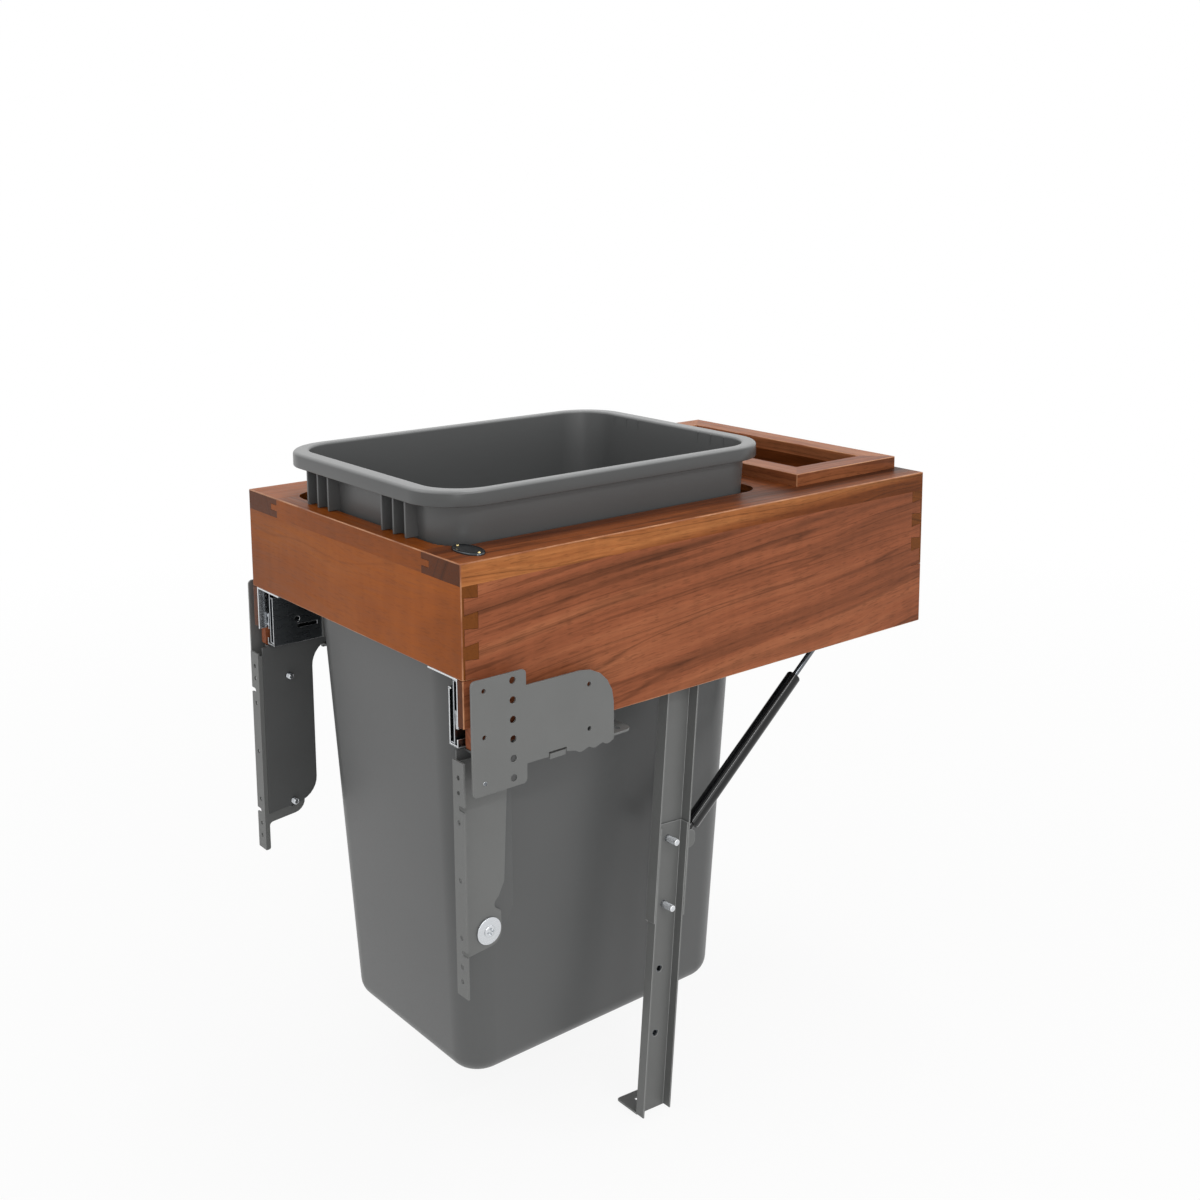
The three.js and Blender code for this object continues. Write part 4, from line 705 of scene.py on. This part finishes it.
def finTree(material):
    tree, given = newTree("rimFins", ["First", "Spacing", "Count", "Thickness", "Reach", "Height", "End",
                                      "Middle", "Low"])
    size = addNode(tree, "ShaderNodeCombineXYZ", {
        0: given["Thickness"], 1: given["Reach"], 2: given["Height"]})
    fin = addNode(tree, "GeometryNodeMeshCube", {"Size": size.outputs[0]})
    half = addMath(tree, "MULTIPLY_ADD", given["Height"], 0.5, given["Low"])
    groups = []
    for endSign in (-1, 1):
        for hand in (-1, 1):
            first = addMath(tree, "MULTIPLY", given["First"], hand)
            step = addMath(tree, "MULTIPLY", given["Spacing"], hand)
            end = addMath(tree, "MULTIPLY_ADD", given["End"], endSign, given["Middle"])
            place = addNode(tree, "ShaderNodeCombineXYZ", {0: first, 1: end, 2: half}).outputs[0]
            offset = addNode(tree, "ShaderNodeCombineXYZ", {0: step}).outputs[0]
            groups.append(addRow(tree, given["Count"], place, offset, fin.outputs[0]))
    join = addNode(tree, "GeometryNodeJoinGeometry")
    for group in groups:
        tree.links.new(group, join.inputs[0])
    return endTree(tree, join.outputs[0], material)


def makeBin():
    s = binSizes
    outside, rim, inside = binRings()
    work = loft(outside + rim + inside)
    work.faces.ensure_lookup_table()
    around = len(rim[0])
    for face in work.faces[(len(outside) - 1) * around:(len(outside) + len(rim)) * around]:
        face.material_index = 1     # the rim's smoother finish, with its painted shade and highlight, on its outside and its crown
    shell = toObject("binShell", toFrame(work), binPlastic, rimPlasticPaintedShade)
    keepSharp(shell)
    dress(shell, "bin_plastic", "bin")
    under = s["rimTop"] - s["rimBand"]
    wallY = s["length"] / 2 - s["endOverhang"] - under * math.tan(math.radians(s["draft"]))
    fins = runTree("binFins", finTree(binPlastic), {
        "First": s["finFirst"] * mm, "Spacing": s["finSpacing"] * mm, "Count": s["finsPerGroup"],
        "Thickness": s["finThickness"] * mm, "Reach": (s["finReach"] + s["finSink"]) * mm,
        "Height": (s["rimTop"] - s["wall"] + s["finSink"] - s["finGap"]) * mm,
        "End": (wallY + (s["finReach"] - s["finSink"]) / 2) * mm,
        "Middle": frontFace + (s["setback"] + s["length"] / 2) * mm, "Low": topFace + s["finGap"] * mm})
    softenEdges(fins, s["finEdge"])
    dress(fins, "bin_plastic", "bin")


makeBin()
print("bin made")


def lathe(profile, segments, centre, hand=1, hollow=False):
    # turns (x, radius) pairs round the x axis; x counts outboard from centre, in millimetres
    if hollow:
        profile = profile + profile[:1]
    work = bmesh.new()
    turned = [2 * math.pi * k / segments for k in range(segments)]
    rings = []
    for along, radius in profile:
        rings.append([work.verts.new((centre[0] + hand * along * mm, centre[1] + radius * mm * math.cos(a),
                                      centre[2] + radius * mm * math.sin(a))) for a in turned])
    for low, high in zip(rings, rings[1:]):
        for j in range(segments):
            k = (j + 1) % segments
            work.faces.new([low[j], low[k], high[k], high[j]])
    if not hollow:
        work.faces.new(rings[0])
        work.faces.new(rings[-1])
    return work


# The screws that clamp each door angle: pan head with a cross recess on a broad washer
clampScrew = {
    "washer": 1.6, "head": 1.6, "headRadius": 5.4, "root": 2.65, "tail": 7, "chamfer": 0.7,
    "tip": 0.01, "washerFoot": 0.3, "washerEdge": (0.5, 0.7), "headFlat": 0.3,
    "segments": 48, "headSteps": 9,
    "recess": 1.2, "arm": 0.85, "armReach": 3.4, "recessFrom": 0.1,
}


def makeClampScrew(node, hand):
    s = clampScrew
    low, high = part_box(node)
    middle = (low + high) / 2
    washerRadius = (high.z - low.z) / 2 / mm
    outer = high.x if hand > 0 else low.x
    length = (high.x - low.x) / mm
    face = -s["head"] - s["washer"]
    foot = s["washerFoot"]
    edge = s["washerEdge"]
    profile = [(-length, s["tip"]), (-length, s["root"] - s["chamfer"]),
               (-length + s["chamfer"], s["root"]), (face, s["root"]),
               (face, washerRadius - foot), (face + foot, washerRadius),
               (face + s["washer"] - edge[0], washerRadius), (face + s["washer"], washerRadius - edge[1]),
               (face + s["washer"], s["headRadius"])]
    for step in range(1, s["headSteps"]):
        angle = math.radians(90 * step / s["headSteps"])
        profile.append((-s["head"] + s["head"] * math.sin(angle), s["headRadius"] * math.cos(angle)))
    profile.append((0, s["headFlat"]))
    work = lathe(profile, s["segments"], (outer, middle.y, middle.z), hand)
    for v in work.verts:
        y = (v.co.y - middle.y) / mm
        z = (v.co.z - middle.z) / mm
        onHead = (v.co.x - outer) * hand / mm > -s["head"] + s["recessFrom"]
        if onHead and math.hypot(y, z) < s["armReach"] and min(abs(y), abs(z)) < s["arm"]:
            v.co.x -= hand * s["recess"] * mm
    piece = toObject(camel(node), closed(work), zinc)
    keepSharp(piece, "turnedSharp")
    dress(piece, "zinc", node)
    return Vector((outer - hand * (length - s["tail"] / 2) * mm, middle.y, middle.z))


# Threads: rolled ridges on the tails of the screws and studs
thread = {
    "clampRadius": 2.65, "clampWire": 0.35, "clampTurns": 5, "studRadius": 3.0, "studWire": 0.32,
    "studTurns": 9, "pitch": 1.2, "studMiddle": 6.6, "ringSteps": 20, "wireSteps": 5,
}


def threadTree(material):
    tree, given = newTree("rolledThread", ["Radius", "Wire", "Pitch", "Turns"], fromPoints=True)
    circle = addNode(tree, "GeometryNodeCurvePrimitiveCircle", {
        "Resolution": thread["ringSteps"], "Radius": given["Radius"]})
    wire = addNode(tree, "GeometryNodeCurvePrimitiveCircle", {
        "Resolution": thread["wireSteps"], "Radius": given["Wire"]})
    ring = addNode(tree, "GeometryNodeCurveToMesh", {0: circle.outputs[0], "Profile Curve": wire.outputs[0]})
    upright = addNode(tree, "GeometryNodeTransform", {
        "Geometry": ring.outputs[0], "Rotation": (0, math.pi / 2, 0)})
    span = addMath(tree, "MULTIPLY", addMath(tree, "SUBTRACT", given["Turns"], 1.0), given["Pitch"])
    back = addMath(tree, "MULTIPLY", span, -0.5)
    first = addNode(tree, "ShaderNodeCombineXYZ", {0: back}).outputs[0]
    step = addNode(tree, "ShaderNodeCombineXYZ", {0: given["Pitch"]}).outputs[0]
    turns = addRow(tree, given["Turns"], first, step, upright.outputs[0])
    everywhere = addNode(tree, "GeometryNodeInstanceOnPoints", {
        "Points": given["Geometry"], "Instance": turns})
    return endTree(tree, everywhere.outputs[0], material)


def makeFasteners():
    tree = threadTree(zinc)
    tails = []
    screws = []
    for side, hand in sides.items():
        for base in ("clamp_screw_upper_", "clamp_screw_lower_"):
            screws.append(base + side)
            tails.append(makeClampScrew(base + side, hand))
        studs = ["leg_stud_upper_" + side, "leg_stud_lower_" + side]
        middles = []
        for node in studs:
            low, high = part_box(node)
            tip = high.x if hand > 0 else low.x
            middles.append((tip - hand * thread["studMiddle"] * mm,
                            (low.y + high.y) / 2, (low.z + high.z) / 2))
        turned = runTree("legStudThreads" + side.capitalize(), tree, {
            "Radius": thread["studRadius"] * mm, "Wire": thread["studWire"] * mm,
            "Pitch": thread["pitch"] * mm, "Turns": thread["studTurns"]}, middles)
        dress(turned, "zinc", *studs)
    turned = runTree("clampScrewThreads", tree, {
        "Radius": thread["clampRadius"] * mm, "Wire": thread["clampWire"] * mm,
        "Pitch": thread["pitch"] * mm, "Turns": thread["clampTurns"]}, tails)
    dress(turned, "zinc", *screws)


makeFasteners()
print("fasteners made")

# Rivet nuts in the leg's two spare holes: their deep bores show dark
rivetNut = {"spares": 2, "flangeRadius": 4.7, "flange": 0.5, "barrelRadius": 4.1, "length": 10, "bore": 2.6,
            "web": 2.1, "segments": 28}


def makeRivetNuts():
    n = rivetNut
    outline = [(n["flange"], n["bore"]), (n["flange"], n["flangeRadius"]), (0, n["flangeRadius"]),
               (0, n["barrelRadius"]), (-n["length"], n["barrelRadius"]), (-n["length"], n["bore"])]
    for side, hand in sides.items():
        upper, lower = (sum(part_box("leg_stud_" + end + "_" + side), Vector()) / 2
                        for end in ("upper", "lower"))
        low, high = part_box("leg_rivet_" + side)
        face = (high.x if hand > 0 else low.x) + hand * n["web"] * mm      # the web's outboard face
        nuts = bmesh.new()
        for k in range(1, n["spares"] + 1):
            spot = lower + (lower - upper) * k
            ring = lathe(outline, n["segments"], (face, spot.y, spot.z), hand, hollow=True)
            mesh = bpy.data.meshes.new("nut")
            closed(ring).to_mesh(mesh)
            ring.free()
            nuts.from_mesh(mesh)
            bpy.data.meshes.remove(mesh)
        piece = toObject("legRivetNuts" + side.capitalize(), nuts, slideSteel)
        keepSharp(piece, "turnedSharp")
        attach(piece, bodyOf["leg_lower_" + side])


makeRivetNuts()
print("rivet nuts made")

# Each slide's cage: a punched strip that spaces two rows of steel balls
ballCage = {"strip": 1.2, "stripEdge": 0.3, "ballRadius": 2.5, "spacing": 11, "ballsPerRow": 6, "rowGap": 9,
            "margin": 1, "segments": 14, "rings": 8}


def ballTree(material):
    tree, given = newTree("cageBalls", ["Ball", "Spacing", "Count", "Across", "X", "Y", "Z"])
    ball = addNode(tree, "GeometryNodeMeshUVSphere", {
        "Segments": ballCage["segments"], "Rings": ballCage["rings"], "Radius": given["Ball"]})
    rows = addNode(tree, "GeometryNodeJoinGeometry")
    for hand in (-0.5, 0.5):
        height = addMath(tree, "MULTIPLY_ADD", given["Across"], hand, given["Z"])
        place = addNode(tree, "ShaderNodeCombineXYZ", {0: given["X"], 1: given["Y"], 2: height}).outputs[0]
        step = addNode(tree, "ShaderNodeCombineXYZ", {1: given["Spacing"]}).outputs[0]
        tree.links.new(addRow(tree, given["Count"], place, step, ball.outputs[0]), rows.inputs[0])
    return endTree(tree, rows.outputs[0], material)


def makeBallCages():
    c = ballCage
    # the balls take the pale zinc of the painted edge highlights
    tree = ballTree(paleZincHighlight)
    for side in sides:
        node = "slide_ball_cage_" + side
        low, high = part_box(node)
        if side == "right":
            low.y = slideFrontY
        middle = (low + high) / 2
        work = bmesh.new()
        bmesh.ops.create_cube(work, size=1)
        bmesh.ops.scale(work, vec=(c["strip"] * mm, high.y - low.y, high.z - low.z), verts=work.verts)
        bmesh.ops.translate(work, vec=middle, verts=work.verts)
        strip = toObject("ballCageStrip" + side.capitalize(), work, zinc)
        softenEdges(strip, c["stripEdge"])
        dress(strip, "zinc", node)
        first = low.y + (c["ballRadius"] + c["margin"]) * mm
        balls = runTree("ballCageBalls" + side.capitalize(), tree, {
            "Ball": c["ballRadius"] * mm, "Spacing": c["spacing"] * mm, "Count": c["ballsPerRow"],
            "Across": c["rowGap"] * mm, "X": middle.x, "Y": first, "Z": middle.z})
        dress(balls, "zinc", node)


makeBallCages()
print("slide balls made")

# The plain oval plate: polished, with a raised rounded rim, held by two brass pins.
# The rim's profile has a share of the oval's size and a height in millimetres.
ovalPlate = {
    "segments": 64,
    "rim": [(1, 0), (1, 1.1), (0.985, 1.7), (0.955, 2), (0.92, 2), (0.885, 1.75), (0.86, 1.6), (0.4, 1.6)],
    "pinSpacing": 32, "pinRadius": 1.4, "pinFoot": 1.4, "pinSegments": 20, "pinRings": 12,
}


def makePlate():
    p = ovalPlate
    low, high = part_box("name_plate")
    centre = (low + high) / 2
    halfLong = (high.x - low.x) / 2
    halfShort = (high.y - low.y) / 2
    turns = [2 * math.pi * k / p["segments"] for k in range(p["segments"])]
    work = bmesh.new()
    rings = []
    for share, height in p["rim"]:
        z = low.z + height * mm
        rings.append([work.verts.new((centre.x + halfLong * share * math.cos(a),
                                      centre.y + halfShort * share * math.sin(a), z)) for a in turns])
    for inner, outer in zip(rings, rings[1:]):
        for j in range(p["segments"]):
            k = (j + 1) % p["segments"]
            work.faces.new([inner[j], inner[k], outer[k], outer[j]])
    work.faces.new(rings[0])
    work.faces.new(rings[-1])
    plate = toObject("ovalPlate", closed(work), darkNickel)
    keepSharp(plate, "plateSharp")
    dress(plate, "plate_metal", "name_plate")

    work = bmesh.new()
    for hand in (-1, 1):
        dome = bmesh.ops.create_uvsphere(work, u_segments=p["pinSegments"], v_segments=p["pinRings"],
                                         radius=p["pinRadius"] * mm)["verts"]
        foot = Vector((centre.x + hand * p["pinSpacing"] / 2 * mm, centre.y, low.z + p["pinFoot"] * mm))
        bmesh.ops.translate(work, vec=foot, verts=dome)
    pins = toObject("ovalPlatePins", work, brassPin)
    dress(pins, "plate_metal", "name_plate")


makePlate()
print("oval plate made")

# The camera stands where the photograph's did, and looks down a little more, so that its shift
# stays small enough for the other views to keep the whole object in their frame.
cameraLook = {
    "lens": 45.071, "shift": (-0.05, -0.15), "azimuth": 49.3631, "elevation": 9.4788, "roll": 0.0234,
    "place": (1.17581, -0.92074, 0.89726), "sensor": 36, "farthest": 50,
}


def makeCamera():
    look = cameraLook
    a, e, r = (math.radians(look[k]) for k in ("azimuth", "elevation", "roll"))
    back = Vector((math.sin(a) * math.cos(e), -math.cos(a) * math.cos(e), math.sin(e)))
    level = Vector((math.cos(a), math.sin(a), 0))
    upright = back.cross(level)
    right = level * math.cos(r) + upright * math.sin(r)
    up = upright * math.cos(r) - level * math.sin(r)
    data = bpy.data.cameras.new("camera")
    data.lens = look["lens"]
    data.sensor_width = look["sensor"]
    data.shift_x, data.shift_y = look["shift"]
    data.clip_end = look["farthest"]
    camera = bpy.data.objects.new("camera", data)
    turn = Matrix((right, up, back)).transposed().to_4x4()
    camera.matrix_world = Matrix.Translation(look["place"]) @ turn
    bpy.context.scene.collection.objects.link(camera)
    bpy.context.scene.camera = camera


# A white studio: the background is white to the camera and in reflections, and a soft grey light
# to everything else. Three large soft boxes shape the object, and three narrow strips draw crisp
# lines along its rounded edges.
studio = {
    "ambient": 0.62,
    "floorColour": "#e6e6e5",
    "floorHalf": 20,
    "glowNear": 0.9,        # how white the floor is to the eye under the object, and from
    "glowFar": 1.0,         # the second distance outwards, in metres
    "glowFrom": 0.5,
    "glowTo": 2.2,
    "boxes": {
        "keyBox": {"place": (-0.9, -2.1, 2.1), "size": (1.8, 1.4), "power": 11.5},
        "rightBox": {"place": (2.3, -0.6, 1.5), "size": (1.5, 1.5), "power": 7.5},
        "cornerStrip": {"place": (1.95, -1.45, 0.95), "size": (0.16, 1.4), "power": 7},
        "rearBox": {"place": (0.4, 2.0, 2.4), "size": (2.0, 1.0), "power": 8},
        "edgeStrip": {"place": (1.7, -0.1, 1.7), "size": (1.3, 0.1), "power": 6},
        "topStrip": {"place": (0.1, 0.3, 2.7), "size": (1.8, 0.3), "power": 12},
    },
    "aim": (0, 0, 0.36),
}


def makeWorld():
    world = bpy.data.worlds.new("studioWorld")
    bpy.context.scene.world = world
    world.use_nodes = True
    tree = world.node_tree
    tree.nodes.clear()
    path = addNode(tree, "ShaderNodeLightPath").outputs
    seen = addMath(tree, "MAXIMUM", path["Is Camera Ray"], path["Is Glossy Ray"])
    through = addMath(tree, "MAXIMUM", seen, path["Is Transmission Ray"])
    level = addRange(tree, through, (0, 1), (studio["ambient"], 1.0))
    sky = addNode(tree, "ShaderNodeBackground", {"Color": white, "Strength": level})
    addNode(tree, "ShaderNodeOutputWorld", {0: sky.outputs[0]})


def makeFloor():
    work = bmesh.new()
    bmesh.ops.create_grid(work, x_segments=1, y_segments=1, size=studio["floorHalf"])
    floor = toObject("floor", work)
    material = bpy.data.materials.new("paleFloor")
    material.use_nodes = True
    tree = material.node_tree
    tree.nodes.clear()
    path = addNode(tree, "ShaderNodeLightPath").outputs
    matte = addNode(tree, "ShaderNodeBsdfDiffuse", {"Color": linear(studio["floorColour"])})
    glow = addNode(tree, "ShaderNodeEmission", {"Color": white, "Strength": 1.0})
    toEye = addMath(tree, "MAXIMUM", path["Is Camera Ray"], path["Is Glossy Ray"])
    spot = addNode(tree, "ShaderNodeTexCoord")
    away = addNode(tree, "ShaderNodeVectorMath", {0: spot.outputs["Object"]}, operation="LENGTH")
    glowing = addRange(tree, away.outputs["Value"], (studio["glowFrom"], studio["glowTo"]),
                       (studio["glowNear"], studio["glowFar"]))
    amount = addMath(tree, "MULTIPLY", toEye, glowing)
    mixed = addNode(tree, "ShaderNodeMixShader", {0: amount, 1: matte.outputs[0], 2: glow.outputs[0]})
    addNode(tree, "ShaderNodeOutputMaterial", {0: mixed.outputs[0]})
    floor.data.materials.append(material)


def makeLights():
    for name, box in studio["boxes"].items():
        light = bpy.data.lights.new(name, "AREA")
        light.shape = "RECTANGLE"
        light.size, light.size_y = box["size"]
        light.energy = box["power"]
        lamp = bpy.data.objects.new(name, light)
        lamp.location = box["place"]
        aim = Vector(studio["aim"]) - lamp.location
        lamp.rotation_euler = aim.to_track_quat("-Z", "Y").to_euler()
        bpy.context.scene.collection.objects.link(lamp)


makeCamera()
makeWorld()
makeFloor()
makeLights()
bpy.context.scene.view_settings.view_transform = "Standard"
print("camera and studio set")
